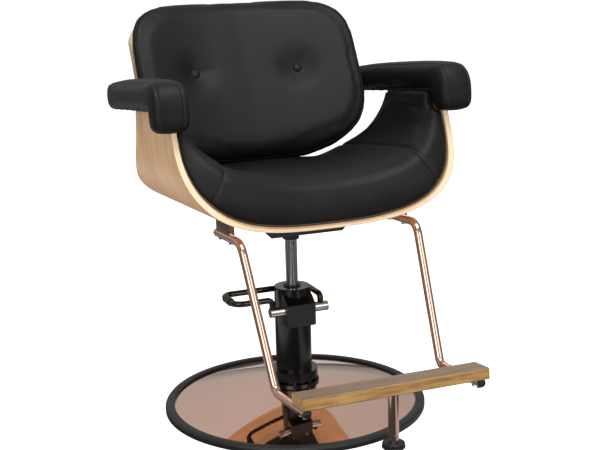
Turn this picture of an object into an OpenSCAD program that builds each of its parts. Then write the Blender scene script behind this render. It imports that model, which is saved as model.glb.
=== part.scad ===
// Hairdressing chair: a bent plywood bucket seat on a foot-pumped hydraulic column,
// with upholstered arms, a separate curved back and a plank footrest.
// Millimetres. Z is up, the sitter faces -Y and left is the sitter's left, +X.
// The origin is on the column's axis, on the floor.

/* [Base] */
// Outer radius of the rubber rim that the chair stands on
base_r = 285; // [250:1:320]
// Width of the rubber rim, seen from above
rim_w = 20; // [14:1:26]
// Height of the rubber rim
rim_h = 14.5; // [12:0.5:18]
// Thickness of the steel plate that weighs the base down
plate_t = 8; // [6:0.5:9]
// Thickness of the polished cover
cover_t = 1.5; // [1:0.1:2]
// Height of the cover's top above the floor
cover_top_z = 52; // [46:1:60]
// Outer radius of the cast hub under the middle of the cover
hub_r = 60; // [56:1:70]
// Outer radius of the round foot of the column flange
flange_foot_r = 54; // [52:0.5:56]
// Thickness of the flange's round foot
flange_foot_t = 5; // [4:0.5:8]
// Outer radius of the collar on the flange
flange_collar_r = 51; // [49:0.5:53]
// Height of the collar, above the room for the bolt heads
flange_collar_h = 20; // [16:1:26]
// Radius of the circle that the flange bolts stand on
flange_bolt_ring_r = 47; // [46.5:0.1:47.5]
// Number of flange bolts
flange_bolts_n = 8; // [6:2:8]
// Radius of a flange bolt's shank
flange_bolt_r = 3; // [2.5:0.1:3.5]

/* [Pump] */
// Outer radius of the pump tube and of the round pump head
pump_r = 39; // [37:0.5:41]
// Bore radius of the pump tube
pump_bore_r = 27; // [25:0.5:29]
// Thickness of the pump tube's floor
pump_floor_t = 10; // [8:0.5:12]
// Height of the joint between tube and head above the floor
head_z = 186; // [180:1:196]
// Height of the pump head
head_h = 72; // [70:1:76]
// Half the width of the block on the front of the head
block_half_w = 32; // [28:1:34]
// Reach of the block's front face from the column's axis
block_front = 54; // [53:0.5:58]
// Height of the block's lower edge above the head's lower edge
block_low = 4; // [2:0.5:8]
// Height of the block's sloping top above its front edge
block_slope_h = 20; // [14:1:24]
// Thickness of the cap on the head
cap_t = 10; // [8:0.5:14]
// Outer radius of the bronze guide bush
bush_r = 17; // [16.5:0.1:17.5]

/* [Pedal] */
// Distance of the pedal shaft in front of the column's axis
shaft_y = 36; // [35:0.5:37]
// Height of the pedal shaft above the head's lower edge
shaft_up = 38; // [37:0.5:40]
// Radius of the pedal shaft
shaft_r = 8; // [6:0.5:9]
// Radius of the bright sleeves on the shaft's ends
sleeve_r = 10.5; // [9.5:0.5:12]
// Reach of the sleeves to each side of the axis
sleeve_reach = 66; // [64:1:72]
// Radius of the pedal's bent rod
pedal_rod_r = 6.5; // [5.5:0.25:7]
// Reach of the pedal loop to the right of the axis
pedal_reach = 143; // [125:1:160]
// Reach of the pedal loop behind the axis
pedal_back = 49; // [49:0.5:55]
// Height of the pedal loop above its shaft
pedal_up = 27; // [25:1:30]
// Radius of the loop's corners
pedal_bend_r = 21; // [18:1:24]
// Outer radius of the rubber grip on the pedal
grip_r = 8.5; // [8:0.25:10]
// Length of the rubber grip
grip_l = 34; // [24:1:36]
// Distance of the cam's nose from the pedal shaft
cam_throw = 12; // [11.8:0.1:12.4]
// Radius of the cam's nose
cam_nose_r = 5; // [4.8:0.1:5]
// Width of the cam
cam_w = 17; // [14:0.5:18]
// Radius of the pump plunger's head
plunger_head_r = 4; // [3.8:0.1:4]
// Radius of the pump plunger's stem
plunger_stem_r = 3; // [2.5:0.1:3.2]
// Wire radius of the plunger spring
spring_wire_r = 0.6; // [0.5:0.05:0.7]
// Number of turns of the plunger spring
spring_turns = 6; // [4:1:7]

/* [Ram] */
// Radius of the bright ram
ram_r = 13; // [12:0.25:14]
// Height of the seat collar's lower edge above the floor
collar_z = 373; // [365:1:380]
// Outer radius of the seat collar
collar_r = 18; // [17:0.5:22]
// Height of the piston's lower face above the floor
piston_z = 104; // [102:1:110]
// Height of the piston
piston_h = 34; // [28:1:36]

/* [Seat] */
// Height of the underside of the seat shell at the column's axis
seat_z = 424; // [418:1:436]
// Backward tilt of the seat, in degrees
seat_tilt = 3.4; // [2.5:0.1:4.5]
// Half the outer width of the seat shell
shell_a = 297; // [290:1:310]
// Height over which the shell's sides curve up from its underside
shell_b = 203; // [195:1:210]
// Thickness of the moulded plywood
ply_t = 12; // [9:0.5:14]
// Reach of the seat shell's front edge from the axis
seat_front = 228; // [215:1:240]
// Reach of the seat shell's rear edge from the axis
seat_rear = 266; // [255:1:275]
// Thickness of the boards that carry the seat padding
board_t = 4.4; // [3.5:0.1:5]
// Thickness of a padded wing with its plywood, at the inner face of the wing
wing_pad_t = 52; // [47:1:58]
// Height of the seat cushion's front above the shell's underside
cushion_front_h = 106; // [95:1:115]
// Height of the seat cushion's rear above the shell's underside
cushion_rear_h = 72; // [66:1:80]
// Radius of the piping along the front edge
piping_r = 2.1; // [1.6:0.1:2.1]
// Half the side of the square seat plate
seat_plate_half = 95; // [85:1:105]
// Depth of the seat plate's turned-down edges
seat_plate_edge_h = 16; // [10:1:20]
// Distance from the axis to each seat plate bolt, along both sides
seat_bolt_xy = 70; // [60:1:75]

/* [Arms] */
// Height of the underside of the arms above the seat shell's underside
arm_up = 248; // [244:1:252]
// Slope of the arms towards the back, in degrees
arm_tilt = 5.9; // [5:0.1:6.5]
// Distance from the outer face of the seat shell in to the inner face of an arm
arm_lap = 29; // [27:0.1:30]
// Width of an arm pad at its front
arm_w = 67; // [60:1:72]
// Width of an arm pad at its rear end
arm_rear_w = 48; // [46:1:60]
// Thickness of an arm pad
arm_t = 52; // [46:1:58]
// Reach of an arm pad in front of the axis
arm_front = 187; // [180:1:200]
// Reach of an arm pad behind the axis
arm_rear = 275; // [268:1:282]
// Thickness of the pad's nose, from front to back
nose_t = 52; // [46:1:60]
// Drop of the nose below the pad's underside
nose_drop = 40; // [32:1:50]
// Thickness of the steel arm bracket
bracket_t = 5; // [4:0.5:6]

/* [Back] */
// Height of the middle of the back's front face above the seat shell's underside
back_rise = 276; // [270:1:284]
// Distance of that point behind the axis
back_y = 243; // [238:1:250]
// Backward tilt of the back, in degrees
back_tilt = 28.8; // [26:0.2:31]
// How far the back shell stands out past the back cushion on each side
back_shell_proud = 3; // [2:0.5:5]
// Depth of the back shell from its rear face to its side edges
back_b = 97; // [90:1:110]
// Distance of the shell's rear face behind the cushion's front face
back_rear = 72; // [68:1:78]
// Height of the back cushion above its middle
back_up = 193; // [185:1:205]
// Depth of the back cushion below its middle
back_down = 188; // [182:1:196]
// Clearance between the back cushion and the inner face of an arm
back_arm_gap = 8; // [7:0.5:11]
// Distance of each button from the middle of the back
button_x = 123; // [100:1:140]
// Radius of a button
button_r = 11; // [9:0.5:13]
// Depth that the buttons draw the padding in
tuft_depth = 13; // [8:0.5:16]

/* [Footrest] */
// Outer radius of the footrest tubes
tube_r = 8.5; // [7.5:0.25:10]
// Wall thickness of the footrest tubes
tube_wall = 1.5; // [1:0.1:2.5]
// Distance of a tube's upper end from the middle of the chair
tube_x = 188; // [180:1:195]
// Drop of the upper tube ends' axis below the shell's underside
tube_drop = 5.5; // [4:0.5:9]
// Start of the tubes' upper ends, in front of the axis
tube_start = 74; // [65:1:90]
// Reach of the upper bend from the axis
bend_up_y = 219; // [210:1:230]
// Reach of the lower bend from the axis
bend_low_y = 348; // [335:1:360]
// Height of the lower tube ends' axis above the floor
tube_low_z = 187; // [180:1:195]
// Rise of the lower tube ends and the plank toward the front, in degrees
plank_tilt = 5.5; // [0:0.5:8]
// Inward lean of the tubes, in degrees
tube_lean = 3.2; // [2:0.1:4]
// Radius of the tubes' upper bends along the axis
tube_bend_r = 34; // [30:1:45]
// Radius of the tubes' lower bends along the axis
tube_low_bend_r = 22; // [18:1:30]
// How far the plank reaches past the middle of each tube
plank_side = 10.7; // [9:0.1:14]
// Depth of the plank, from front to back
plank_w = 55; // [50:1:70]
// Thickness of the plank
plank_t = 22; // [18:0.5:26]
// Reach of the plank's front face from the axis
plank_front = 517; // [505:1:530]
// Rounding of the plank's edges
plank_round = 2.5; // [1.5:0.5:4]
// Outer radius of the post
post_r = 10; // [9:0.5:12]
// Height of the post's lower end above the floor
post_z = 103; // [101:0.5:110]
// Radius of the foot pad
pad_r = 22; // [18:0.5:28]
// Thickness of the foot pad
pad_t = 12; // [9:0.5:14]

/* [Hidden] */
$fn = 64;
// One overrun serves every cut
over = 1;
// Clearance of a turning or sliding fit
run = 0.05;
// Clearance of a bolt or screw in its hole
hole_gap = 0.2;
// Clearance between pieces that only lie side by side
gap = 0.3;

// Base
rim_in_r = base_r - rim_w;
cover_r = rim_in_r + 3 * cover_t;
plate_r = cover_r;
dome_r = rim_in_r - cover_t;
cover_edge_z = plate_t + cover_t;
dome_share = 1.25;
dome_steps = 20;
flange_z = cover_top_z;
flange_foot_top = flange_z + flange_foot_t;
washer_t = 1.2;
washer_r = 2 * flange_bolt_r;
bolt_head_h = 4;
bolt_head_r = 5;
flange_collar_z = flange_foot_top + washer_t + bolt_head_h + gap;
hub_top = cover_top_z - cover_t;

// Pump
head_top = head_z + head_h;
cap_top = head_top + cap_t;
bush_z = head_z + head_h / 2;
wiper_t = 3;
wiper_lip = 1.5;
shaft_z = head_z + shaft_up;
cam_room_r = cam_throw + cam_nose_r + run + hole_gap;
cam_room_w = cam_w + 2 * gap;
plunger_y = -shaft_y + cam_throw;
plunger_top = shaft_z - cam_nose_r - hole_gap;
plunger_head_h = 4;
cam_wall = 1.5;
cam_hub_r = shaft_r + cam_wall;
spring_floor_h = 14;
spring_floor_z = head_z + spring_floor_h;
plunger_low = head_z + 3 * plunger_stem_r;
stem_hole_z = head_z + plunger_stem_r / 2;
plunger_bore_r = plunger_head_r + over;
spring_r = (plunger_stem_r + plunger_bore_r) / 2;
spring_rings = 8;
spring_sides = 6;

// Pedal
pedal_z = shaft_z + pedal_up;
pedal_shift = 3;
pedal_front_y = shaft_y - pedal_shift;
pedal_out_x = sleeve_reach - sleeve_r + pedal_rod_r / 2;
pedal_room = 5;
pedal_in_x = pump_r + pedal_rod_r + pedal_room;
sleeve_screw_proud = 0.5;
rod_turn_r = 12;
screw_r = 2.5;
screw_head_r = 4.5;
screw_head_h = 2.5;

// Ram
piston_top = piston_z + piston_h;
spigot_r = 8;
thrust_t = 2;
ram_low = piston_top + thrust_t;
ram_end_gap = 12;
ram_top = seat_z - ply_t - ram_end_gap;
seal_h = 6;
seal_t = 3;
pin_r = 3;
collar_pin_z = collar_z + collar_r;
ram_hole_drop = 9;
ram_hole_z = collar_z - ram_hole_drop;

// Sizes that follow the seat shell's width and height
arm_in = shell_a - arm_lap;
arm_z = seat_z + arm_up;
wing_over = 14;
wing_h = arm_up + wing_over;
cushion_half_w = shell_a - wing_pad_t;
back_z = seat_z + back_rise;
back_half_w = arm_in - back_arm_gap;
back_a = back_half_w + back_shell_proud;

// Seat
plate_steel_t = 4;
spacer_h = 8;
spacer_r = 10;
seat_plate_top = -spacer_h;
seat_plate_low = seat_plate_top - plate_steel_t;
insert_r = 6;
seat_bolt_r = 4;
shell_n = 2.75;
cushion_n = 2.6;
front_cushion_n = 2.1;
rear_crown_h = 17;
rear_crown_share = 0.62;
u_steps = 48;
board_gap = 0.2;
board_a = shell_a - ply_t - board_gap;
board_b = shell_b - ply_t - board_gap;
pad_gap = 0.4;
pad_a = board_a - board_t - pad_gap;
pad_b = board_b - board_t - pad_gap;
seam_angle = 36;
// Height share of the wing, then reach share of the edge, from the underside up
front_low_shares = [[0, 0.89], [0.045, 0.965], [0.12, 1.01], [0.21, 1.0]];
front_high_shares = [[0.21, 1.0], [0.33, 0.985], [0.46, 0.86], [0.78, 0.725]];
rear_low_shares = [[0, 1.0], [0.12, 1.0], [0.25, 0.95], [0.34, 0.79]];
rear_mid_shares = [[0.34, 0.79], [0.42, 0.65], [0.5, 0.54], [0.6, 0.455]];
rear_high_shares = [[0.6, 0.455], [0.7, 0.37], [0.82, 0.375], [1.0, 0.33]];
edge_steps = 8;
// Places along the depth of a cushion, as shares of it
depth_shares = [0, 0.015, 0.04, 0.08, 0.13, 0.2, 0.35, 0.5, 0.65, 0.78, 0.87, 0.93, 0.97, 1];
roll_share = 0.14;
edge_thick_share = 0.3;
crown_h = 5;
pad_inset = 1;
// Above this height the wing's padding thins toward its rear top corner
thin_from_share = 0.66;
thin_least_share = 0.12;
// Beside the nose of an arm the padding thins too, so that the nose covers it
nose_thin_from_share = 0.58;
nose_thin_to_share = 0.8;
nose_thin_share = 0.47;
piping_inset = 6;

// Arms. The nose swells a little, so the wings stand clear of it
nose_room = 2;
nose_rise = 5;
nose_stand = 3;
wing_gap = 2.5;
board_inset = 12;
arm_round = 16;
arm_crown = 2.5;
arm_edge_round = 9;
// Share of the arm pad's width, then share of its edge rounding
arm_slice_shares = [[0, 1], [0.03, 0.5], [0.09, 0.145], [0.17, 0], [0.5, -0.167], [0.83, 0],
    [0.91, 0.145], [0.97, 0.5], [1, 1]];
strap_side = 2;
strap_in = arm_in + strap_side;
strap_w = 37;
strap_stand = 1;
strap_front = arm_front - nose_t - strap_stand;
strap_short = 10;
strap_rear = arm_rear - strap_short;
tab_t = 3;
tab_drop = 34;
tab_l = 30;
tab_front_y = -60;
tab_rear_y = 20;
tab_room = 1.5;
tab_screw_drop = 4;
screw_short = 3;
screw_in = 2;
back_tab_l = 34;
back_tab_h = 34;
back_tab_y = 237;

// Back
back_n = 2.6;
back_edge_y = back_rear - back_b;
back_wrap = 56;
back_top_n = 4.6;
back_side_n = 2.4;
back_low_n = 3.8;
back_rows = [-1, -0.97, -0.92, -0.84, -0.74, -0.6, -0.44, -0.28, -0.16, -0.08, -0.02, 0.041,
    0.1, 0.16, 0.25, 0.4, 0.56, 0.7, 0.81, 0.89, 0.95, 1];
back_cols = [-1, -0.985, -0.94, -0.86, -0.75, -0.64, -0.55, -0.51, -0.473, -0.435, -0.395, -0.3,
    0, 0.3, 0.395, 0.435, 0.473, 0.51, 0.55, 0.64, 0.75, 0.86, 0.94, 0.985, 1];
back_end_share = 0.985;
back_roll = 30;
back_side_roll = 8;
button_up = 8;
button_lift = 4.5;
button_rim = 1.5;
tuft_r = 20;
back_shell_up = 10;
back_shell_low = 6;
back_least_t = 6;
back_edge_gap = 0.8;
back_slack = 17;

// Footrest
tube_in_r = tube_r - tube_wall;
tube_bends = [0, tube_bend_r, tube_low_bend_r, 0];
cap_dome_h = 6;
tube_plug_l = 6;
plank_over = 13;
tube_end_y = plank_front - plank_over;
plank_mid = plank_w / 2 - plank_over;
plank_mid_y = plank_mid - tube_end_y;
post_in_r = 8;
post_socket = 10;
post_top = tube_low_z - plank_mid * tan(plank_tilt) + tube_r + post_socket;
post_screw_z = post_z + post_in_r;
post_screw_r = 2;
stem_top = 160;
pad_room = 5;
pad_top = post_z - pad_room;
pad_z = pad_top - pad_t;
standoff_r = 5;
tube_screw_ys = [95, 160];
plank_screw_ys = [28, 10];

// Signed power, for rounded U-shaped outlines
function spow(v, e) = sign(v) * pow(abs(v), e);

// A point on a cubic curve through its first and last control points
function bez(c, t) = pow(1 - t, 3) * c[0] + 3 * pow(1 - t, 2) * t * c[1]
    + 3 * (1 - t) * t * t * c[2] + pow(t, 3) * c[3];

function bez_run(c, first) = [for (i = [first:edge_steps]) bez(c, i / edge_steps)];

// Side outline of the seat: pairs of height and reach, from the underside up
front_edge = [for (p = concat(bez_run(front_low_shares, 0), bez_run(front_high_shares, 1),
    [[1, front_high_shares[3][1] - 0.02]])) [p[0] * wing_h, p[1] * seat_front]];
rear_edge = [for (p = concat(bez_run(rear_low_shares, 0), bez_run(rear_mid_shares, 1),
    bez_run(rear_high_shares, 1))) [p[0] * wing_h, p[1] * seat_rear]];

function front_y(z) = -lookup(z, front_edge);
function rear_y(z) = lookup(z, rear_edge);

// Rounded U, a wide by b deep, from its left top over its bottom to its right top
function u_half(a, b, n) = [for (i = [0:u_steps]) let (t = 180 + 180 * i / u_steps)
    [a * spow(cos(t), 2 / n), b + b * spow(sin(t), 2 / n)]];
function u_line(a, b, n, top) = concat([[-a, top]], u_half(a, b, n), [[a, top]]);
function reversed(v) = [for (i = [len(v) - 1:-1:0]) v[i]];

// Rise of the seat shell's underside at a distance from the middle
function shell_rise(x) = shell_b * (1 - pow(1 - pow(x / shell_a, shell_n), 1 / shell_n));

// Places of the chair's three tilted frames
module seat_frame() { translate([0, 0, seat_z]) rotate([-seat_tilt, 0, 0]) children(); }
module arm_frame() { translate([0, 0, arm_z]) rotate([-arm_tilt, 0, 0]) children(); }
module back_frame() { translate([0, back_y, back_z]) rotate([-back_tilt, 0, 0]) children(); }

// Copies on a circle
module around(n, r) {
    for (i = [0:n - 1]) rotate(360 * (i + 0.5) / n - 90) translate([r, 0]) children();
}

// Copies at the four corners of a square
module at_corners(d) {
    for (x = [-d, d], y = [-d, d]) translate([x, y]) children();
}

module ring(z0, z1, r_out, r_in) {
    translate([0, 0, z0]) difference() {
        cylinder(h = z1 - z0, r = r_out);
        translate([0, 0, -over]) cylinder(h = z1 - z0 + 2 * over, r = r_in);
    }
}

module rod_x(x0, x1, r) { translate([x0, 0, 0]) rotate([0, 90, 0]) cylinder(h = x1 - x0, r = r); }

// Round-cornered rectangle, centred
module round_rect(w, h, r) {
    square([w - 2 * r, h], center = true);
    square([w, h - 2 * r], center = true);
    for (x = [-1, 1], y = [-1, 1]) translate([x * (w / 2 - r), y * (h / 2 - r)]) circle(r);
}

// A bent round bar: straight runs through the points, joined by bends of the radii.
// The runs are a hair thinner and reach into the bends, so that the pieces join cleanly.
function dir(a, b) = (b - a) / norm(b - a);
function ang(d) = atan2(d[1], d[0]);
function turn(p, i) = let (a = dir(p[i - 1], p[i]), b = dir(p[i], p[i + 1]))
    atan2(a[0] * b[1] - a[1] * b[0], a * b);
function cut(p, br, i) = (i == 0 || i == len(p) - 1) ? 0 : br[i] * tan(abs(turn(p, i)) / 2);
function lap(p, i) = (i == 0 || i == len(p) - 1) ? 0 : over / 2;
module bent_bar(p, br, r) {
    for (i = [0:len(p) - 2]) {
        d = dir(p[i], p[i + 1]);
        a = p[i] + d * (cut(p, br, i) - lap(p, i));
        b = p[i + 1] - d * (cut(p, br, i + 1) - lap(p, i + 1));
        translate(a) rotate([0, 0, ang(d)]) rotate([0, 90, 0])
            cylinder(h = norm(b - a), r = r - run / 2);
    }
    for (i = [1:len(p) - 2]) {
        s = sign(turn(p, i));
        d = s > 0 ? dir(p[i - 1], p[i]) : dir(p[i], p[i + 1]);
        from = s > 0 ? p[i] - d * cut(p, br, i) : p[i] + d * cut(p, br, i);
        centre = from + br[i] * s * [-d[1], d[0]];
        translate(centre) rotate([0, 0, ang(d) - 90 * s])
            rotate_extrude(angle = abs(turn(p, i))) translate([br[i], 0]) circle(r);
    }
}

// Closed solid between two sheets of points with the same rows and columns
module slab(outer, inner) {
    n = len(outer);
    m = len(outer[0]);
    k = n * m;
    pts = concat([for (row = outer) each row], [for (row = inner) each row]);
    sheets = [for (i = [0:n - 2], j = [0:m - 2]) let (a = i * m + j, b = a + m)
        each [[a, b, b + 1], [a, b + 1, a + 1],
              [k + a, k + b + 1, k + b], [k + a, k + a + 1, k + b + 1]]];
    ends = [for (j = [0:m - 2]) let (a = j, b = (n - 1) * m + j)
        each [[a, a + 1, k + a + 1], [a, k + a + 1, k + a],
              [b, k + b + 1, b + 1], [b, k + b, k + b + 1]]];
    sides = [for (i = [0:n - 2]) let (a = i * m, b = i * m + m - 1)
        each [[a, k + a + m, a + m], [a, k + a, k + a + m],
              [b, b + m, k + b + m], [b, k + b + m, k + b]]];
    polyhedron(pts, concat(sheets, ends, sides), convexity = 6);
}

// Closed solid through rings of points, each end closed from a middle point
module skin(rings, first_mid, last_mid) {
    n = len(rings);
    m = len(rings[0]);
    pts = concat([for (r = rings) each r], [first_mid, last_mid]);
    walls = [for (i = [0:n - 2], j = [0:m - 1]) let (a = i * m + j, b = i * m + (j + 1) % m)
        each [[a, b, b + m], [a, b + m, a + m]]];
    caps = [for (j = [0:m - 1]) let (q = (j + 1) % m)
        each [[n * m, q, j], [n * m + 1, (n - 1) * m + j, (n - 1) * m + q]]];
    polyhedron(pts, concat(walls, caps), convexity = 8);
}

// Base

function dome_z(r) = cover_edge_z
    + (cover_top_z - cover_edge_z) * (1 - pow((r - hub_r) / (dome_r - hub_r), dome_share));

module bolt_holes(r) { around(flange_bolts_n, flange_bolt_ring_r) cylinder(h = 2 * cover_top_z, r = r); }

module base_plate() {
    color("dimgray") difference() {
        cylinder(h = plate_t, r = plate_r, $fn = 128);
        translate([0, 0, plate_t / 2]) bolt_holes(flange_bolt_r + hole_gap);
    }
}

module base_rim() {
    lip_z = cover_edge_z + gap;
    in_r = cover_r + gap;
    color("#2a2a28") rotate_extrude($fn = 128) polygon([
        [in_r, 0], [base_r, 0], [base_r, rim_h * 0.6], [base_r - rim_w * 0.15, rim_h * 0.88],
        [base_r - rim_w * 0.4, rim_h], [rim_in_r + rim_w * 0.2, rim_h],
        [rim_in_r, rim_h * 0.85], [rim_in_r, lip_z], [in_r, lip_z]
    ]);
}

module base_hub() {
    color("#3a3a3a") difference() {
        ring(plate_t, hub_top, hub_r - cover_t, pump_r + run);
        bolt_holes(flange_bolt_r + hole_gap);
    }
}

module base_cover() {
    rs = [for (i = [0:dome_steps]) hub_r + (dome_r - hub_r) * i / dome_steps];
    top = [for (r = rs) [r, dome_z(r)]];
    low = [for (r = rs) [r, dome_z(r) - cover_t]];
    color("#c9a48f") difference() {
        rotate_extrude($fn = 128) polygon(concat([[pump_r + gap, cover_top_z]], top,
            [[cover_r, cover_edge_z], [cover_r, plate_t]], reversed(low),
            [[pump_r + gap, hub_top]]));
        bolt_holes(flange_bolt_r + hole_gap);
    }
}

module column_flange() {
    color("#181818") difference() {
        union() {
            ring(flange_z, flange_foot_top, flange_foot_r, pump_r + run);
            ring(flange_z, flange_collar_z + over, flange_bolt_ring_r - washer_r - gap,
                pump_r + run);
            ring(flange_collar_z, flange_collar_z + flange_collar_h, flange_collar_r, pump_r + run);
        }
        around(flange_bolts_n, flange_bolt_ring_r) cylinder(h = flange_foot_top + over,
            r = flange_bolt_r + hole_gap);
    }
}

module flange_washers() {
    color("silver") around(flange_bolts_n, flange_bolt_ring_r)
        ring(flange_foot_top, flange_foot_top + washer_t, washer_r, flange_bolt_r + hole_gap);
}

module flange_bolts() {
    color("silver") around(flange_bolts_n, flange_bolt_ring_r) {
        translate([0, 0, flange_foot_top + washer_t]) cylinder(h = bolt_head_h, r = bolt_head_r, $fn = 6);
        translate([0, 0, plate_t * 0.75]) cylinder(h = flange_foot_top + washer_t - plate_t * 0.75,
            r = flange_bolt_r);
    }
}

// Pump

module pump_tube() {
    color("#1b1b1b") difference() {
        translate([0, 0, plate_t]) cylinder(h = head_z - plate_t, r = pump_r);
        translate([0, 0, plate_t + pump_floor_t]) cylinder(h = head_z, r = pump_bore_r);
    }
}

module pump_head() {
    block_z = head_z + block_low;
    color("#151515") difference() {
        union() {
            translate([0, 0, head_z]) cylinder(h = head_h, r = pump_r);
            translate([-block_half_w, 0, 0]) rotate([90, 0, 90]) linear_extrude(2 * block_half_w)
                polygon([[0, block_z], [-block_front, block_z],
                    [-block_front, head_top - block_slope_h],
                    [-block_front + 1.4 * block_slope_h, head_top], [0, head_top]]);
        }
        translate([0, 0, bush_z]) cylinder(h = head_h, r = bush_r);
        translate([0, 0, head_z - over]) cylinder(h = head_h, r = ram_r + gap);
        translate([0, -shaft_y, shaft_z]) {
            rod_x(-2 * block_half_w, 2 * block_half_w, shaft_r + run);
            intersection() {
                rod_x(-cam_room_w / 2, cam_room_w / 2, cam_room_r);
                translate([-cam_room_w, -cam_hub_r - over, -cam_room_r])
                    cube([2 * cam_room_w, 2 * cam_room_r, 2 * cam_room_r]);
            }
        }
        translate([0, plunger_y, spring_floor_z])
            cylinder(h = shaft_z - spring_floor_z - cam_nose_r, r = plunger_bore_r);
        translate([0, plunger_y, stem_hole_z])
            cylinder(h = spring_floor_z - stem_hole_z + over, r = plunger_stem_r + run);
    }
}

module head_cap() { color("#333333") ring(head_top, cap_top, pump_r - gap, bush_r); }

module guide_bush() { color("goldenrod") ring(bush_z, cap_top, bush_r - run, ram_r + run); }

module ram_wiper() { color("#0f0f0f") ring(cap_top, cap_top + wiper_t, bush_r + wiper_lip, ram_r + gap); }

// One open coil, swept as a six-sided tube
module plunger_spring() {
    low = spring_floor_z + spring_wire_r + gap;
    high = plunger_top - plunger_head_h - spring_wire_r - gap;
    n = spring_turns * spring_rings;
    rings = [for (i = [0:n]) let (t = 360 * i / spring_rings, c = cos(t), s = sin(t),
        z = low + (high - low) * i / n)
        [for (j = [0:spring_sides - 1]) let (w = 360 * j / spring_sides,
            r = spring_r + spring_wire_r * cos(w))
            [r * c, plunger_y + r * s, z + spring_wire_r * sin(w)]]];
    mid = [spring_r, plunger_y, low];
    end = [spring_r * cos(360 * spring_turns), plunger_y + spring_r * sin(360 * spring_turns), high];
    color("silver") skin(rings, mid, end);
    rise = (high - low) / spring_turns;
    echo("least gap between turns of the spring", rise - 2 * spring_wire_r);
}

module pump_plunger() {
    color("silver") translate([0, plunger_y, 0]) {
        translate([0, 0, plunger_top - plunger_head_h]) cylinder(h = plunger_head_h, r = plunger_head_r);
        translate([0, 0, plunger_low]) cylinder(h = plunger_top - plunger_low - over, r = plunger_stem_r);
    }
}

module pedal_shaft() {
    color("silver") translate([0, -shaft_y, shaft_z]) rod_x(-sleeve_reach + over, sleeve_reach - over, shaft_r);
}

module pedal_cam() {
    color("gray") translate([0, -shaft_y, shaft_z]) difference() {
        union() {
            rod_x(-cam_w / 2, cam_w / 2, cam_hub_r);
            translate([0, cam_throw, 0]) rod_x(-cam_w / 2, cam_w / 2, cam_nose_r);
            translate([-cam_w / 2, 0, -cam_nose_r]) cube([cam_w, cam_throw, 2 * cam_nose_r]);
        }
        rod_x(-cam_w, cam_w, shaft_r + run);
    }
}

module shaft_sleeves() {
    color("silver") translate([0, -shaft_y, shaft_z]) for (s = [0, 1]) mirror([s, 0, 0]) difference() {
        rod_x(block_half_w + gap, sleeve_reach, sleeve_r);
        rod_x(0, sleeve_reach - over + run, shaft_r + run);
        translate([sleeve_reach - 2 * screw_r - over, 0, 0]) rotate([90, 0, 0])
            cylinder(h = 2 * sleeve_r, r = screw_r + run);
    }
}

module sleeve_screws() {
    color("#222222") translate([0, -shaft_y, shaft_z]) for (s = [0, 1]) mirror([s, 0, 0])
        translate([sleeve_reach - 2 * screw_r - over, -shaft_r - run, 0]) rotate([90, 0, 0])
            cylinder(h = sleeve_r - shaft_r - run + sleeve_screw_proud, r = screw_r);
}

// The pedal: one bent bar from the right sleeve round the pump head to the left sleeve
module pedal_rod() {
    flat = [[-pedal_out_x - rod_turn_r, -pedal_front_y], [-pedal_reach, -pedal_front_y],
        [-pedal_reach, pedal_back], [pedal_in_x, pedal_back],
        [pedal_in_x, -shaft_y + rod_turn_r]];
    color("#161616") difference() {
        union() {
            translate([0, 0, pedal_z]) bent_bar(flat, [0, pedal_bend_r, pedal_bend_r, pedal_bend_r, 0],
                pedal_rod_r);
            translate([0, -pedal_front_y, 0]) rotate([90, 0, 0])
                bent_bar([[-pedal_out_x - rod_turn_r, pedal_z], [-pedal_out_x, pedal_z],
                    [-pedal_out_x, shaft_z]], [0, rod_turn_r - over / 2, 0], pedal_rod_r);
            translate([pedal_in_x, 0, 0]) rotate([90, 0, 90])
                bent_bar([[-shaft_y + rod_turn_r, pedal_z], [-shaft_y, pedal_z],
                    [-shaft_y, shaft_z]], [0, rod_turn_r - over / 2, 0], pedal_rod_r);
        }
        translate([0, -shaft_y, shaft_z]) rod_x(-2 * sleeve_reach, 2 * sleeve_reach, sleeve_r);
    }
}

module pedal_grip() {
    mid_y = (pedal_back - pedal_front_y) / 2;
    color("#0d0d0d") translate([-pedal_reach, mid_y - grip_l / 2, pedal_z]) rotate([-90, 0, 0])
        ring(0, grip_l, grip_r, pedal_rod_r + run);
}

// Ram

module piston() {
    color("gray") difference() {
        translate([0, 0, piston_z]) cylinder(h = piston_h, r = pump_bore_r - run);
        translate([0, 0, piston_top - 3 * spigot_r]) cylinder(h = piston_h, r = spigot_r + run);
        ring(piston_z + seal_h, piston_z + 2 * seal_h, pump_r, pump_bore_r - seal_t);
    }
}

module piston_seal() {
    color("#202020") ring(piston_z + seal_h + gap / 2, piston_z + 2 * seal_h - gap / 2,
        pump_bore_r - run, pump_bore_r - seal_t + run);
}

module thrust_washer() {
    color("goldenrod") ring(piston_top, ram_low, ram_r, spigot_r + run);
}

module ram() {
    color("gainsboro") difference() {
        union() {
            translate([0, 0, ram_low]) cylinder(h = ram_top - ram_low, r = ram_r);
            translate([0, 0, piston_top - 2.5 * spigot_r]) cylinder(h = 3 * spigot_r, r = spigot_r);
        }
        translate([0, 0, collar_pin_z]) rotate([90, 0, 0])
            cylinder(h = 4 * ram_r, r = pin_r + run, center = true);
        translate([0, 0, ram_hole_z]) rotate([90, 0, 0])
            cylinder(h = 4 * ram_r, r = pin_r, center = true);
    }
}

module seat_collar() {
    color("#55565a") difference() {
        translate([0, 0, collar_z]) cylinder(h = seat_z - collar_z, r = collar_r);
        translate([0, 0, collar_z - over]) cylinder(h = ram_top - collar_z + over + gap, r = ram_r + run);
        translate([0, 0, collar_pin_z]) rotate([90, 0, 0])
            cylinder(h = 4 * collar_r, r = pin_r + run, center = true);
        seat_frame() translate([-seat_z / 2, -seat_z / 2, seat_plate_low]) cube(seat_z);
    }
}

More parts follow.
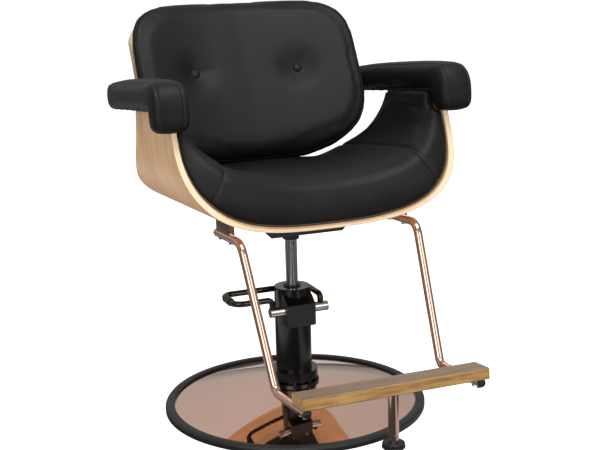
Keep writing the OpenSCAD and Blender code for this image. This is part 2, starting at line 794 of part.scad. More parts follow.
module collar_pin() {
    color("silver") translate([0, 0, collar_pin_z]) rotate([90, 0, 0])
        cylinder(h = 2 * collar_r, r = pin_r, center = true);
}

// Seat

module seat_plate() {
    h = seat_plate_half;
    edge = seat_plate_edge_h;
    color("#141414") seat_frame() difference() {
        union() {
            translate([-h, -h, seat_plate_low]) cube([2 * h, 2 * h, plate_steel_t]);
            for (y = [-h, h - plate_steel_t]) translate([0, y + plate_steel_t, seat_plate_low])
                rotate([90, 0, 0]) linear_extrude(plate_steel_t) polygon([[-h, 0], [h, 0],
                    [h - edge, -edge], [edge - h, -edge]]);
        }
        at_corners(seat_bolt_xy) translate([0, 0, seat_plate_low - over])
            cylinder(h = plate_steel_t + 2 * over, r = seat_bolt_r + hole_gap);
    }
}

module plate_spacers() {
    top = shell_rise(seat_bolt_xy - spacer_r) - run;
    color("#202020") seat_frame() at_corners(seat_bolt_xy)
        ring(seat_plate_top, top, spacer_r, seat_bolt_r + hole_gap);
}

module seat_bolts() {
    head_h = 5;
    color("#202020") seat_frame() at_corners(seat_bolt_xy) {
        translate([0, 0, seat_plate_low - head_h]) cylinder(h = head_h, r = 1.6 * seat_bolt_r, $fn = 6);
        translate([0, 0, seat_plate_low]) cylinder(h = ply_t - seat_plate_low, r = seat_bolt_r);
    }
}

module shell_inserts() {
    low = shell_rise(seat_bolt_xy + insert_r) + gap;
    color("goldenrod") seat_frame() at_corners(seat_bolt_xy)
        ring(low, ply_t + shell_rise(seat_bolt_xy - insert_r) - gap, insert_r, seat_bolt_r + run);
}

// Everything inside one U-shaped surface of the seat, as long as the seat is deep
module u_space(a, b, top) {
    translate([0, seat_rear + 2 * over, 0]) rotate([90, 0, 0])
        linear_extrude(seat_front + seat_rear + 4 * over) polygon(u_line(a, b, shell_n, top));
}

// Everything inside the seat's side outline, drawn in by a distance
module side_space(inset) {
    front = [for (p = front_edge) [inset - p[1], p[0]]];
    rear = [for (p = rear_edge) [p[1] - inset, p[0]]];
    low = -ply_t;
    translate([-2 * shell_a, 0, 0]) rotate([90, 0, 90]) linear_extrude(4 * shell_a)
        polygon(concat([[front[0][0], low]], front, reversed(rear), [[rear[0][0], low]]));
}

// Everything above the arms' underside, and the room for the arms' noses
module arm_room(space) {
    big = 2 * shell_a;
    arm_frame() {
        translate([-big, -big, -space]) cube([2 * big, 2 * big, big]);
        translate([-big, -big - arm_front + nose_t + nose_room + space, -nose_drop - nose_room - space])
            cube([2 * big, big, big]);
    }
}

module wing_tabs(t_in, t_out, wide) {
    for (y = [tab_front_y, tab_rear_y])
        translate([t_in, y - tab_l / 2 - wide, -tab_drop - wide])
            cube([t_out - t_in, tab_l + 2 * wide, tab_drop + wide + over]);
}

module seat_shell() {
    color("#c9a98c") difference() {
        seat_frame() difference() {
            intersection() {
                u_space(shell_a, shell_b, wing_h);
                side_space(0);
            }
            translate([0, 0, ply_t]) u_space(shell_a - ply_t, shell_b - ply_t, wing_h);
            at_corners(seat_bolt_xy) translate([0, 0, -over]) cylinder(h = 2 * ply_t, r = insert_r + run);
            for (s = [-1, 1], y = tube_screw_ys) translate([s * tube_x, -y, 0])
                cylinder(h = shell_rise(tube_x) + ply_t * 0.8, r = screw_r + run);
        }
        arm_room(run);
        arm_frame() bracket_screw_bars(screw_r + run);
    }
}

module padding_board() {
    a = board_a;
    b = board_b;
    color("#b99a6b") difference() {
        seat_frame() difference() {
            intersection() {
                translate([0, 0, ply_t + board_gap]) u_space(a, b, wing_h);
                side_space(board_inset);
            }
            translate([0, 0, ply_t + board_gap + board_t]) u_space(a - board_t, b - board_t, wing_h);
        }
        arm_room(gap);
        arm_frame() for (s = [0, 1]) mirror([s, 0, 0]) wing_tabs(board_a - 3 * board_t, board_a + over, tab_room);
    }
}

// Top of the wings under the sloping arms, in the seat's own frame
function wing_top(y) = arm_up - wing_gap - y * (tan(arm_tilt) - tan(seat_tilt))
    - wing_h * sin(seat_tilt) * tan(arm_tilt);

// Points of the padding's outer and inner faces: t is the angle round the U, negative
// above the U's widest level, and s is the share of the depth from front to rear
function pad_outer(side, t, s, inset) = let (
    c = t < 0 ? 1 : pow(cos(t), 2 / shell_n),
    q = t < 0 ? 0 : pow(sin(t), 2 / shell_n),
    low = ply_t + board_gap + board_t + pad_gap,
    y0 = front_y(low + pad_b * (1 - q)) + inset,
    y1 = rear_y(low + pad_b * (1 - q)) - inset,
    y = y0 + (y1 - y0) * s,
    z = t < 0 ? low + pad_b + (wing_top(y) - low - pad_b) * -t : low + pad_b * (1 - q))
    t < 0 ? [side * pad_a * c, wing_y(z, s, inset), z] : [side * pad_a * c, y, z];
function wing_y(z, s, inset) = let (y0 = front_y(z) + inset, y1 = rear_y(z) - inset)
    max(y0, nose_y(z)) + (y1 - max(y0, nose_y(z))) * s;

// The wings stand back from the noses of the arms
function nose_y(z) = z > arm_up - nose_drop + nose_rise ? -arm_front + nose_t + nose_stand : -2 * seat_front;

function roll(s) = let (k = min(s, 1 - s) / roll_share)
    edge_thick_share + (1 - edge_thick_share) * (k >= 1 ? 1 : pow(1 - pow(1 - k, 2.6), 1 / 2.6));

function pad_inner(side, t, s, inset) = let (
    o = pad_outer(side, t, s, inset),
    n = front_cushion_n + (cushion_n - front_cushion_n) * min(1, 1.3 * s),
    c = t < 0 ? 1 : pow(cos(t), 2 / n),
    q = t < 0 ? 0 : pow(sin(t), 2 / n),
    low = ply_t + board_gap + board_t + pad_gap,
    top_z = low + pad_b,
    floor_z = cushion_front_h + (cushion_rear_h - cushion_front_h) * s
        + crown_h * cos(180 * (s - 0.5)) - crown_h
        + rear_crown_h * s * max(0, 1 - pow(c / rear_crown_share, 2)),
    z = t < 0 ? o[2] : top_z - (top_z - floor_z) * q,
    full = [side * cushion_half_w * c, o[1], z],
    up = max(0, z / wing_h - thin_from_share) / (0.9 - thin_from_share),
    near = max(0, z / wing_h - nose_thin_from_share) / (nose_thin_to_share - nose_thin_from_share),
    thin = min(1, up) * min(1, 1.6 * max(0, s - 0.3))
        + nose_thin_share * pow(min(1, near), 2) * max(0, 1 - 1.6 * s),
    k = nose_y(o[2]) > -seat_front ? max(s, roll_share) : s)
    o + (full - o) * roll(k) * max(thin_least_share, 1 - thin);

seat_angles = [for (i = [0:22]) let (k = seam_angle + (180 - 2 * seam_angle) * i / 22) k];
side_angles = concat([-1, -0.6, -0.28, -0.2], [for (k = [0, 0.15, 0.3, 0.46, 0.62, 0.76, 0.89, 1]) k * seam_angle]);

// One angle past the middle is a place on the other side of the seat
function both_outer(t, s) = t <= 90 ? pad_outer(-1, t, s, pad_inset) : pad_outer(1, 180 - t, s, pad_inset);
function both_inner(t, s) = t <= 90 ? pad_inner(-1, t, s, pad_inset) : pad_inner(1, 180 - t, s, pad_inset);

module seat_cushion() {
    o = [for (t = seat_angles) [for (s = depth_shares) both_outer(t, s)]];
    i = [for (t = seat_angles) [for (s = depth_shares) both_inner(t, s)]];
    color("#1c1c1c") seat_frame() slab(o, i);
}

module side_cushion(side) {
    ts = side < 0 ? side_angles : reversed(side_angles);
    o = [for (t = ts) [for (s = depth_shares) pad_outer(side, t, s, pad_inset)]];
    i = [for (t = ts) [for (s = depth_shares) pad_inner(side, t, s, pad_inset)]];
    color("#1c1c1c") seat_frame() slab(o, i);
}

module side_cushion_left() { side_cushion(1); }
module side_cushion_right() { side_cushion(-1); }

// Piping between the padding and the plywood, along the front edge
module seat_piping() {
    n = 48;
    a = pad_a + (board_t + pad_gap) / 2;
    b = pad_b + (board_t + pad_gap) / 2;
    line = [for (i = [0:n]) let (t = 180 + 180 * i / n, x = a * spow(cos(t), 2 / shell_n),
        z = ply_t + board_gap + board_t / 2 + b + b * spow(sin(t), 2 / shell_n))
        [x, front_y(z) + piping_inset, z]];
    rings = [for (i = [0:n]) let (p = line[i], q = line[min(i + 1, n)] - line[max(i - 1, 0)],
        d = q / norm(q), u = cross(d, [0, 1, 0]) / norm(cross(d, [0, 1, 0])), v = cross(d, u))
        [for (j = [7:-1:0]) p + piping_r * (cos(45 * j) * u + sin(45 * j) * v)]];
    color("#3b3b3b") seat_frame() skin(rings, line[0], line[n]);
}

// Arms

// Screws of the arm brackets: along X, two in each wing tab and two in the back shell
module bracket_screw_bars(r) {
    for (s = [0, 1]) mirror([s, 0, 0]) {
        for (y = [tab_front_y, tab_rear_y], d = [-1, 1])
            translate([0, y + d * tab_l / 4, -tab_drop / 2 - tab_screw_drop]) rod_x(board_a - tab_t, shell_a - screw_short, r);
    }
}

module back_screw_bars(r) {
    for (s = [0, 1]) mirror([s, 0, 0]) for (z = [0.36, 0.78])
        translate([0, back_tab_y, z * back_tab_h]) rod_x(back_a - ply_t + screw_in, arm_in + tab_t, r);
}

module arm_bracket(side) {
    m = side < 0 ? 1 : 0;
    tab_x = board_a - tab_t;
    color("#242424") difference() {
        arm_frame() mirror([m, 0, 0]) {
            translate([strap_in, -strap_front, 0])
                cube([strap_w, strap_front + strap_rear, bracket_t]);
            translate([back_a - ply_t, back_tab_y - back_tab_l / 2, 0])
                cube([arm_in + tab_t - back_a + ply_t, back_tab_l, back_tab_h]);
            wing_tabs(tab_x, board_a, 0);
        }
        back_frame() back_space(run);
        arm_frame() bracket_screw_bars(screw_r + run);
        arm_frame() back_screw_bars(screw_r + run);
    }
}

module arm_bracket_left() { arm_bracket(1); }
module arm_bracket_right() { arm_bracket(-1); }

module bracket_screws() {
    head = 1.6;
    color("silver") arm_frame() {
        bracket_screw_bars(screw_r);
        back_screw_bars(screw_r);
        for (s = [0, 1]) mirror([s, 0, 0]) {
            for (y = [tab_front_y, tab_rear_y], d = [-1, 1])
                translate([0, y + d * tab_l / 4, -tab_drop / 2 - tab_screw_drop])
                    rod_x(board_a - tab_t - head, board_a - tab_t, screw_head_r);
            for (z = [0.36, 0.78]) translate([0, back_tab_y, z * back_tab_h])
                rod_x(arm_in + tab_t, arm_in + tab_t + head, screw_head_r);
        }
    }
}

// Side outline of an arm pad, drawn in by a distance: a long pad with a nose turned down
function arc_pts(c, r, a0, a1, n) = [for (i = [0:n]) let (t = a0 + (a1 - a0) * i / n)
    c + r * [cos(t), sin(t)]];
function arm_outline(inset) = let (f = -arm_front + inset, b = arm_rear - inset, t = arm_t - inset,
    low = -nose_drop + inset, in_y = -arm_front + nose_t - inset, u = inset, k = arm_round,
    big = 0.85 * nose_t)
    concat(
        arc_pts([f + k, low + k], k, 180, 270, 4),
        arc_pts([in_y - k, low + k], k, 270, 360, 4),
        [for (i = [0:5]) [in_y + (b - in_y - k) * i / 6, u]],
        arc_pts([b - k, u + k], k, 270, 360, 4),
        arc_pts([b - k, t - k], k, 0, 90, 4),
        [for (i = [5:-1:1]) [f + big + (b - f - big - k) * i / 6, t + arm_crown * sin(180 * i / 6)]],
        arc_pts([f + big, t - big], big, 90, 180, 6));

function arm_wide(y) = arm_w + (arm_rear_w - arm_w) * (y + arm_front) / (arm_front + arm_rear);

module arm_pad(side) {
    m = side < 0 ? 1 : 0;
    star = [-arm_front + nose_t / 2, arm_t / 2];
    rings = [for (p = arm_slice_shares) [for (q = reversed(arm_outline(p[1] * arm_edge_round)))
        [arm_in + arm_wide(q[0]) * p[0], q[0], q[1]]]];
    color("#1a1a1a") arm_frame() mirror([m, 0, 0]) difference() {
        skin(rings, [rings[0][0][0], star[0], star[1]],
            [rings[len(rings) - 1][0][0], star[0], star[1]]);
        translate([strap_in - gap, -strap_front - gap, -arm_t])
            cube([strap_w + 2 * gap, strap_front + strap_rear + 2 * gap, arm_t + bracket_t + gap]);
        translate([arm_in - over, back_tab_y - back_tab_l / 2 - gap, -over])
            cube([over + tab_t + strap_side, back_tab_l + 2 * gap, back_tab_h + gap + over]);
    }
}

module arm_pad_left() { arm_pad(1); }
module arm_pad_right() { arm_pad(-1); }

// Back

// Half the width of the back at a height share v, from -1 at the bottom to 1 at the top
function back_w(v) = let (k = min(abs(v), back_end_share), m = v > 0 ? back_side_n : back_low_n,
    n = v > 0 ? back_top_n : back_low_n)
    back_half_w * pow(1 - pow(k, n), 1 / m);
function back_s(v) = v > 0 ? v * back_up : v * back_down;

function back_u(more) = [for (i = [0:u_steps]) let (t = 180 * i / u_steps)
    [(back_a + more) * spow(cos(t), 2 / back_n),
     back_edge_y + (back_b + more) * spow(sin(t), 2 / back_n)]];

// Everything inside the outer surface of the back shell
module back_space(more) {
    translate([0, 0, -2 * back_down]) linear_extrude(4 * back_down)
        polygon(concat(back_u(more), [[-back_a - more, -back_b], [back_a + more, -back_b]]));
}

module back_shell() {
    n = 40;
    rows = [for (i = [0:n]) -1 + 2 * i / n];
    wide = (back_a + over) / back_half_w;
    right = [for (v = rows) [back_w(v) * wide, back_s(v) - (v > 0 ? back_shell_up : back_shell_low) * v]];
    left = [for (p = reversed(right)) [-p[0], p[1]]];
    u_out = back_u(0);
    u_in = back_u(-ply_t);
    color("#c9a98c") difference() {
        back_frame() intersection() {
            translate([0, 0, -2 * back_down]) linear_extrude(4 * back_down)
                polygon(concat(u_out, reversed(u_in)));
            translate([0, 2 * back_b, 0]) rotate([90, 0, 0]) linear_extrude(4 * back_b)
                polygon(concat(right, left));
        }
        arm_frame() back_screw_bars(screw_r + run);
    }
}

// Front face of the back cushion: it wraps forward, rolls back at its edge and is drawn
// in at the two buttons
function tuft(x, s) = let (d = (pow(abs(x) - button_x, 2) + pow(s - button_up, 2)) / (2 * tuft_r * tuft_r))
    tuft_depth * exp(-d);
function back_front(x, s, u, v) = min(back_behind(x) - back_least_t, -back_wrap * pow(x / back_a, 2)
    + tuft(x, s) + back_roll * pow(abs(v), 14) + back_side_roll * pow(abs(u), 20));
function back_behind(x) = let (a = back_a - ply_t - back_slack) back_edge_y - gap
    + (back_b - ply_t - gap) * pow(max(0, 1 - pow(abs(x) / a, back_n)), 1 / back_n);

module back_cushion() {
    f = [for (u = back_cols) [for (v = back_rows) let (x = u * (back_w(v) - back_edge_gap), s = back_s(v))
        [x, back_front(x, s, u, v), s]]];
    r = [for (u = back_cols) [for (v = back_rows) let (x = u * (back_w(v) - back_edge_gap) * 0.995, s = back_s(v))
        [x, back_behind(x) - gap, s]]];
    color("#1c1c1c") back_frame() slab(r, f);
}

module back_buttons() {
    deep = tuft_depth - back_wrap * pow(button_x / back_a, 2) - button_lift;
    color("#101010") back_frame() for (x = [-button_x, button_x])
        translate([x, deep, button_up]) rotate([90, 0, 0]) rotate_extrude()
            polygon(concat([[0, 0], [button_r, 0]],
                [for (i = [0:8]) [button_r * cos(90 * i / 8), button_rim + button_r * 0.45 * sin(90 * i / 8)]]));
}

// Footrest

// Side line of a tube, as pairs of Y and Z: under the seat, down and forward, and level
function in_seat(y, z) = [-y * cos(seat_tilt) + z * sin(seat_tilt),
    seat_z + y * sin(seat_tilt) + z * cos(seat_tilt)];
bend_up = in_seat(bend_up_y, -tube_drop);
foot_x = tube_x - (bend_up[1] - tube_low_z) * tan(tube_lean);
plank_l = 2 * (foot_x + plank_side);
function lean_z(z) = bend_up[1] - (bend_up[1] - z) / cos(tube_lean);
function tube_line(more) = [in_seat(tube_start - more, -tube_drop), bend_up,
    [-bend_low_y, lean_z(tube_low_z - (tube_end_y - bend_low_y) * tan(plank_tilt))],
    [-tube_end_y - more, lean_z(tube_low_z + more * tan(plank_tilt))]];

module in_tube_plane(side) {
    translate([side * tube_x, 0, bend_up[1]]) rotate([0, side * tube_lean, 0])
        translate([0, 0, -bend_up[1]]) rotate([90, 0, 90]) children();
}

module tube_screw_bars(z0, z1, r) {
    seat_frame() for (s = [-1, 1], y = tube_screw_ys) translate([s * tube_x, -y, z0])
        cylinder(h = z1 - z0, r = r);
}

// The plank's frame: its origin lies on the tubes' axes, at their lower ends
module plank_frame() {
    translate([0, -tube_end_y, tube_low_z]) rotate([-plank_tilt, 0, 0]) children();
}

module plank_screw_bars(z0, z1, r) {
    plank_frame() for (s = [-1, 1], y = plank_screw_ys) translate([s * foot_x, y, z0])
        cylinder(h = z1 - z0, r = r);
}

module footrest_tube(side) {
    color("#b98a72") difference() {
        in_tube_plane(side) difference() {
            bent_bar(tube_line(0), tube_bends, tube_r);
            bent_bar(tube_line(over), tube_bends, tube_in_r);
        }
        tube_screw_bars(-2 * tube_r - tube_drop, tube_r, screw_r + hole_gap);
        plank_screw_bars(-2 * tube_r, tube_r + over, screw_r + hole_gap);
    }
}

module footrest_tube_left() { footrest_tube(1); }
module footrest_tube_right() { footrest_tube(-1); }

// Rounded closure with a spigot, pointing along +X from the tube's end
module tube_end() {
    rotate([0, 90, 0]) rotate_extrude() polygon(concat([[0, -tube_plug_l],
        [tube_in_r - run, -tube_plug_l], [tube_in_r - run, 0]],
        [for (i = [0:8]) [tube_r * cos(90 * i / 8), cap_dome_h * sin(90 * i / 8)]]));
}

module tube_domes() {
    line = tube_line(0);
    color("#b98a72") for (s = [-1, 1]) in_tube_plane(s) translate(line[0])
        rotate([0, 0, ang(line[0] - line[1])]) tube_end();
}

module tube_plugs() {
    line = tube_line(0);
    color("#151515") for (s = [-1, 1]) in_tube_plane(s) translate(line[3])
        rotate([0, 0, ang(line[3] - line[2])]) tube_end();
}

module tube_standoffs() {
    color("#b98a72") difference() {
        seat_frame() for (s = [-1, 1])
            translate([s * tube_x - standoff_r, -tube_screw_ys[1] - 2 * standoff_r, -tube_drop])
                cube([2 * standoff_r, tube_screw_ys[1] - tube_screw_ys[0] + 4 * standoff_r,
                    shell_rise(tube_x) + 2 * tube_r + tube_drop]);
        tube_screw_bars(-4 * tube_r, 8 * tube_r, screw_r + hole_gap);
        for (s = [-1, 1]) in_tube_plane(s)
            bent_bar(tube_line(0), tube_bends, tube_r);
        seat_frame() u_space(shell_a, shell_b, wing_h);
    }
}

module tube_screws() {
    color("silver") {
        tube_screw_bars(-tube_drop - tube_r, shell_rise(tube_x) + ply_t * 0.7, screw_r);
        tube_screw_bars(-tube_drop - tube_r - screw_head_h, -tube_drop - tube_r, screw_head_r);
    }
}

module footrest_plank() {
    color("#b5884a") difference() {
        plank_frame() translate([-plank_l / 2, plank_mid, tube_r + plank_t / 2]) rotate([90, 0, 90])
            linear_extrude(plank_l) round_rect(plank_w, plank_t, plank_round);
        translate([0, plank_mid_y, post_z]) cylinder(h = post_top - post_z, r = post_r + run);
        plank_screw_bars(tube_r - over, tube_r + 0.6 * plank_t, screw_r + run);
    }
}

module plank_screws() {
    color("silver") {
        plank_screw_bars(-tube_r, tube_r + 0.55 * plank_t, screw_r);
        plank_screw_bars(-tube_r - screw_head_h, -tube_r, screw_head_r);
    }
}

module footrest_post() {
    color("#b98a72") translate([0, plank_mid_y, 0]) difference() {
        ring(post_z, post_top, post_r, post_in_r + run);
        translate([0, 0, post_screw_z]) rotate([90, 0, 0]) cylinder(h = 2 * post_r, r = post_screw_r + run);
    }
}

module post_screw() {
    color("silver") translate([0, plank_mid_y - post_in_r - gap, post_screw_z]) rotate([90, 0, 0]) {
        cylinder(h = post_r - post_in_r, r = post_screw_r);
        translate([0, 0, post_r - post_in_r]) cylinder(h = post_screw_r / 2, r = 1.5 * post_screw_r);
    }
}

module foot_stem() {
    color("silver") translate([0, plank_mid_y, pad_top - pad_t / 2]) cylinder(h = stem_top - pad_top, r = post_in_r);
}

module foot_pad() {
    k = pad_t / 6;
    color("#161616") translate([0, plank_mid_y, pad_z]) difference() {
        rotate_extrude() polygon([[0, 0], [pad_r - k, 0], [pad_r, k], [pad_r, 2.3 * k],
            [pad_r - k, 3 * k], [pad_r - k / 2, 3.7 * k], [pad_r - k / 2, 5 * k], [pad_r - 2 * k, 6 * k],
            [0, 6 * k]]);
        translate([0, 0, pad_t / 2 - run]) cylinder(h = pad_t, r = post_in_r + run);
    }
}

base_plate();
base_rim();
base_hub();
base_cover();
column_flange();
flange_washers();
flange_bolts();
pump_tube();
pump_head();
head_cap();
guide_bush();
ram_wiper();
plunger_spring();
pump_plunger();
pedal_shaft();
pedal_cam();
shaft_sleeves();
sleeve_screws();
pedal_rod();
pedal_grip();
piston();
piston_seal();
thrust_washer();
ram();
seat_collar();
collar_pin();
seat_plate();
plate_spacers();
seat_bolts();
shell_inserts();
seat_shell();
padding_board();
seat_cushion();
side_cushion_left();
side_cushion_right();
seat_piping();
arm_bracket_left();
arm_bracket_right();
bracket_screws();
arm_pad_left();
arm_pad_right();
back_shell();
back_cushion();
back_buttons();
footrest_tube_left();
footrest_tube_right();
tube_domes();
tube_plugs();
tube_standoffs();
tube_screws();
footrest_plank();
plank_screws();
footrest_post();
post_screw();
foot_stem();
foot_pad();
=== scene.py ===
# %% [markdown]
# # A hairdressing chair, dressed for a photograph
# The solids of the chair come from its part file and never change here. This lesson
# gives each of them a finish, puts real upholstery over the plain cushions, and sets
# up a pale studio with the camera where the photographer stood.

# %% Load the fixed frame
import math

import bmesh
import bpy
import numpy as np
from mathutils import Matrix, Vector


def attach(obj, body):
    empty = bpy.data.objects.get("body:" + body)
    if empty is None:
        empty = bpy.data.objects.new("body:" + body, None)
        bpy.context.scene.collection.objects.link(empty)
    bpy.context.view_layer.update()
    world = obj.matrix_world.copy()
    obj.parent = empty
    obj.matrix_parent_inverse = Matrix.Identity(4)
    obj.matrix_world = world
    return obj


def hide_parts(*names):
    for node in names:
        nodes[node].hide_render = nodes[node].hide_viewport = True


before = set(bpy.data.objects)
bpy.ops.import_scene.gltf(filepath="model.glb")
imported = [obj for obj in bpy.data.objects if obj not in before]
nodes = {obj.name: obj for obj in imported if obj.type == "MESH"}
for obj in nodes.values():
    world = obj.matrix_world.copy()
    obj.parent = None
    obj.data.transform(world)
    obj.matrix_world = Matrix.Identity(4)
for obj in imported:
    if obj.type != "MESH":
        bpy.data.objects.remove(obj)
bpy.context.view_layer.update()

# %% [markdown]
# Three parts of the chair are tilted, and each was drawn straight before it was turned.
# These frames hold the place and the turn of each, so that finishes and seams can be
# planned in the same straight directions.

# %% Frames of the tilted parts
SEAT_TILT, ARM_TILT, BACK_TILT = math.radians(3.4), math.radians(5.9), math.radians(28.8)
SEAT_PLACE, ARM_PLACE, BACK_PLACE = (0, 0, 0.424), (0, 0, 0.672), (0, 0.243, 0.700)


def tilted(place, tilt):
    return Matrix.Translation(place) @ Matrix.Rotation(-tilt, 4, "X")


SEAT_FRAME = tilted(SEAT_PLACE, SEAT_TILT)
ARM_FRAME = tilted(ARM_PLACE, ARM_TILT)
BACK_FRAME = tilted(BACK_PLACE, BACK_TILT)
print("frames of the seat, the arms and the back")

# %% [markdown]
# The camera comes first, because every later choice is judged through it. It was
# worked out from the round base, whose true shape is known: a circle seen at a slant
# gives away the height and the distance of the lens. The camera's three directions
# are set as the columns of one matrix, which is clearer than juggling three angles.

# %% Place the camera
YAW, PITCH, ROLL = math.radians(-21.73), math.radians(13.20), math.radians(-1.44)


def camera_matrix(place, yaw, pitch, roll):
    ahead = Vector((-math.sin(yaw) * math.cos(pitch), math.cos(yaw) * math.cos(pitch), -math.sin(pitch)))
    right = Vector((math.cos(yaw), math.sin(yaw), 0))
    up = right.cross(ahead)
    right_rolled = math.cos(roll) * right + math.sin(roll) * up
    up_rolled = math.cos(roll) * up - math.sin(roll) * right
    turn = Matrix((right_rolled, up_rolled, -ahead)).transposed().to_4x4()
    return Matrix.Translation(place) @ turn


lens = bpy.data.cameras.new("studio_camera")
lens.lens = 71.65
lens.sensor_width = 36
camera = bpy.data.objects.new("studio_camera", lens)
bpy.context.scene.collection.objects.link(camera)
camera.matrix_world = camera_matrix((-0.901, -2.316, 0.984), YAW, PITCH, ROLL)
bpy.context.scene.camera = camera
print("camera looks down by", round(math.degrees(PITCH), 1), "degrees")

# %% [markdown]
# A shop photograph like this one is lit from large soft panels, so that black leather
# shows long pale sheens and polished metal shows clean stripes. Two tall panels stand
# beside the camera and one hangs above. Nothing bright stands behind
# the chair, because the mirror-like base would show it as a hard white patch.

# %% Light the studio
def soft_panel(name, place, target, size, power, tint=(1, 1, 1)):
    light = bpy.data.lights.new(name, "AREA")
    light.shape = "RECTANGLE"
    light.size, light.size_y = size
    light.energy = power
    light.color = tint
    panel = bpy.data.objects.new(name, light)
    bpy.context.scene.collection.objects.link(panel)
    panel.location = place
    panel.rotation_euler = (Vector(target) - Vector(place)).to_track_quat("-Z", "Y").to_euler()
    return panel


soft_panel("panel_left", (-2.3, -2.5, 1.8), (0, 0, 0.5), (2.0, 2.4), 42, (1, 0.985, 0.97))
soft_panel("panel_right", (1.4, -3.1, 1.6), (0, 0, 0.5), (1.5, 2.4), 27, (0.98, 0.99, 1))
soft_panel("panel_above", (0.1, -0.9, 3.1), (0, 0, 0.4), (2.0, 1.2), 55)
print("soft panels", len(bpy.data.lights))

# %% [markdown]
# A polished tube shows the whole room, so the room needs light and dark places. The
# camera itself sees plain white, as in a cut-out picture for a shop. Every other ray
# sees a bright side behind the camera, a calm middle grey behind the chair, which the
# base mirrors as one even tone, and a dim low part, which draws the brown edges of the
# rose tubes and keeps the black pump black.

# %% Surroundings
world = bpy.data.worlds.new("pale_room")
world.use_nodes = True
bpy.context.scene.world = world
bpy.context.scene.view_settings.view_transform = "Standard"
tree = world.node_tree
ground = tree.nodes["Background"]
coords = tree.nodes.new("ShaderNodeTexCoord")
split = tree.nodes.new("ShaderNodeSeparateXYZ")
tree.links.new(coords.outputs["Generated"], split.inputs[0])


def room_ramp(axis, stops):
    """Shades along one direction of the room, from its negative end to its positive one."""
    shift = tree.nodes.new("ShaderNodeMath")
    shift.operation = "MULTIPLY_ADD"
    shift.inputs[1].default_value = shift.inputs[2].default_value = 0.5
    ramp = tree.nodes.new("ShaderNodeValToRGB")
    while len(ramp.color_ramp.elements) < len(stops):
        ramp.color_ramp.elements.new(0.5)
    for element, (place, shade) in zip(ramp.color_ramp.elements, stops):
        element.position = place
        element.color = (shade, shade * 0.985, shade * 0.97, 1)
    tree.links.new(split.outputs[axis], shift.inputs[0])
    tree.links.new(shift.outputs[0], ramp.inputs[0])
    return ramp.outputs[0]


front_to_back = room_ramp("Y", [(0.0, 0.5), (0.25, 0.4), (0.45, 0.2), (0.62, 0.38), (1.0, 0.6)])
low_to_high = room_ramp("Z", [(0.0, 0.15), (0.46, 0.2), (0.56, 0.9), (1.0, 1.5)])
room = tree.nodes.new("ShaderNodeMix")
room.data_type, room.blend_type = "RGBA", "MULTIPLY"
colours = [socket for socket in room.inputs if socket.type == "RGBA"]
room.inputs[0].default_value = 1.0
tree.links.new(front_to_back, colours[0])
tree.links.new(low_to_high, colours[1])
seen = tree.nodes.new("ShaderNodeLightPath")
view = tree.nodes.new("ShaderNodeMix")
view.data_type = "RGBA"
colours = [socket for socket in view.inputs if socket.type == "RGBA"]
tree.links.new(seen.outputs["Is Camera Ray"], view.inputs[0])
tree.links.new([socket for socket in room.outputs if socket.type == "RGBA"][0], colours[0])
colours[1].default_value = (1, 1, 1, 1)
tree.links.new([socket for socket in view.outputs if socket.type == "RGBA"][0], ground.inputs[0])
ground.inputs[1].default_value = 1.0
print("room shades", len(tree.nodes), "nodes")

# %% [markdown]
# The floor is one large pale sheet.

# %% Lay the floor
def deselect():
    if bpy.context.object and bpy.context.object.mode != "OBJECT":
        bpy.ops.object.mode_set(mode="OBJECT")
    bpy.ops.object.select_all(action="DESELECT")


def pick(piece):
    deselect()
    piece.select_set(True)
    bpy.context.view_layer.objects.active = piece


deselect()
bpy.ops.mesh.primitive_plane_add(size=14, location=(0, 3, -0.0005))
floor = bpy.context.object
floor.name = "studio_floor"
bpy.ops.object.transform_apply(location=True, rotation=True, scale=True)
print("floor", [round(side, 1) for side in floor.dimensions])

# %% [markdown]
# Every finish is a small tree of nodes. Writing each link by hand soon hides the idea,
# so this helper adds a node, sets its constants, and joins whatever is passed for its
# inputs: a number goes into the socket, an output is linked to it.

# %% A helper for finishes
def add(tree, kind, inputs=None, **settings):
    node = tree.nodes.new("ShaderNode" + kind)
    for key, value in settings.items():
        setattr(node, key, value)
    for key, value in (inputs or {}).items():
        socket = node.inputs[key]
        if isinstance(value, bpy.types.NodeSocket):
            tree.links.new(value, socket)
        else:
            socket.default_value = value
    return node


print("finishes are built with", add.__name__)


# %% [markdown]
# Some effects serve more than one finish. Each is a node group with named inputs and
# outputs, built once, and placed in every finish with its own numbers.

# %% Helpers for shared effects
def new_group(name, numbers, outs):
    """A shared effect: one vector and some numbers go in, numbers come out."""
    group = bpy.data.node_groups.new(name, "ShaderNodeTree")
    group.interface.new_socket("Vector", in_out="INPUT", socket_type="NodeSocketVector")
    for key, value in numbers.items():
        socket = group.interface.new_socket(key, in_out="INPUT", socket_type="NodeSocketFloat")
        socket.default_value = value
    for key in outs:
        group.interface.new_socket(key, in_out="OUTPUT", socket_type="NodeSocketFloat")
    return group, group.nodes.new("NodeGroupInput"), group.nodes.new("NodeGroupOutput")


def use_group(tree, group, inputs):
    node = tree.nodes.new("ShaderNodeGroup")
    node.node_tree = group
    for key, value in inputs.items():
        if isinstance(value, bpy.types.NodeSocket):
            tree.links.new(value, node.inputs[key])
        else:
            node.inputs[key].default_value = value
    return node


print("shared effects are built with", new_group.__name__)


# %% [markdown]
# A new finish starts as a plain shader with the chair's own coordinates at hand, in
# metres. Colours are written as they look on screen, and mixed by a mask.

# %% Helpers for one finish
def new_finish(name):
    finish = bpy.data.materials.new(name)
    finish.use_nodes = True
    tree = finish.node_tree
    shader = tree.nodes["Principled BSDF"]
    place = tree.nodes.new("ShaderNodeTexCoord").outputs["Object"]
    return finish, tree, shader, place


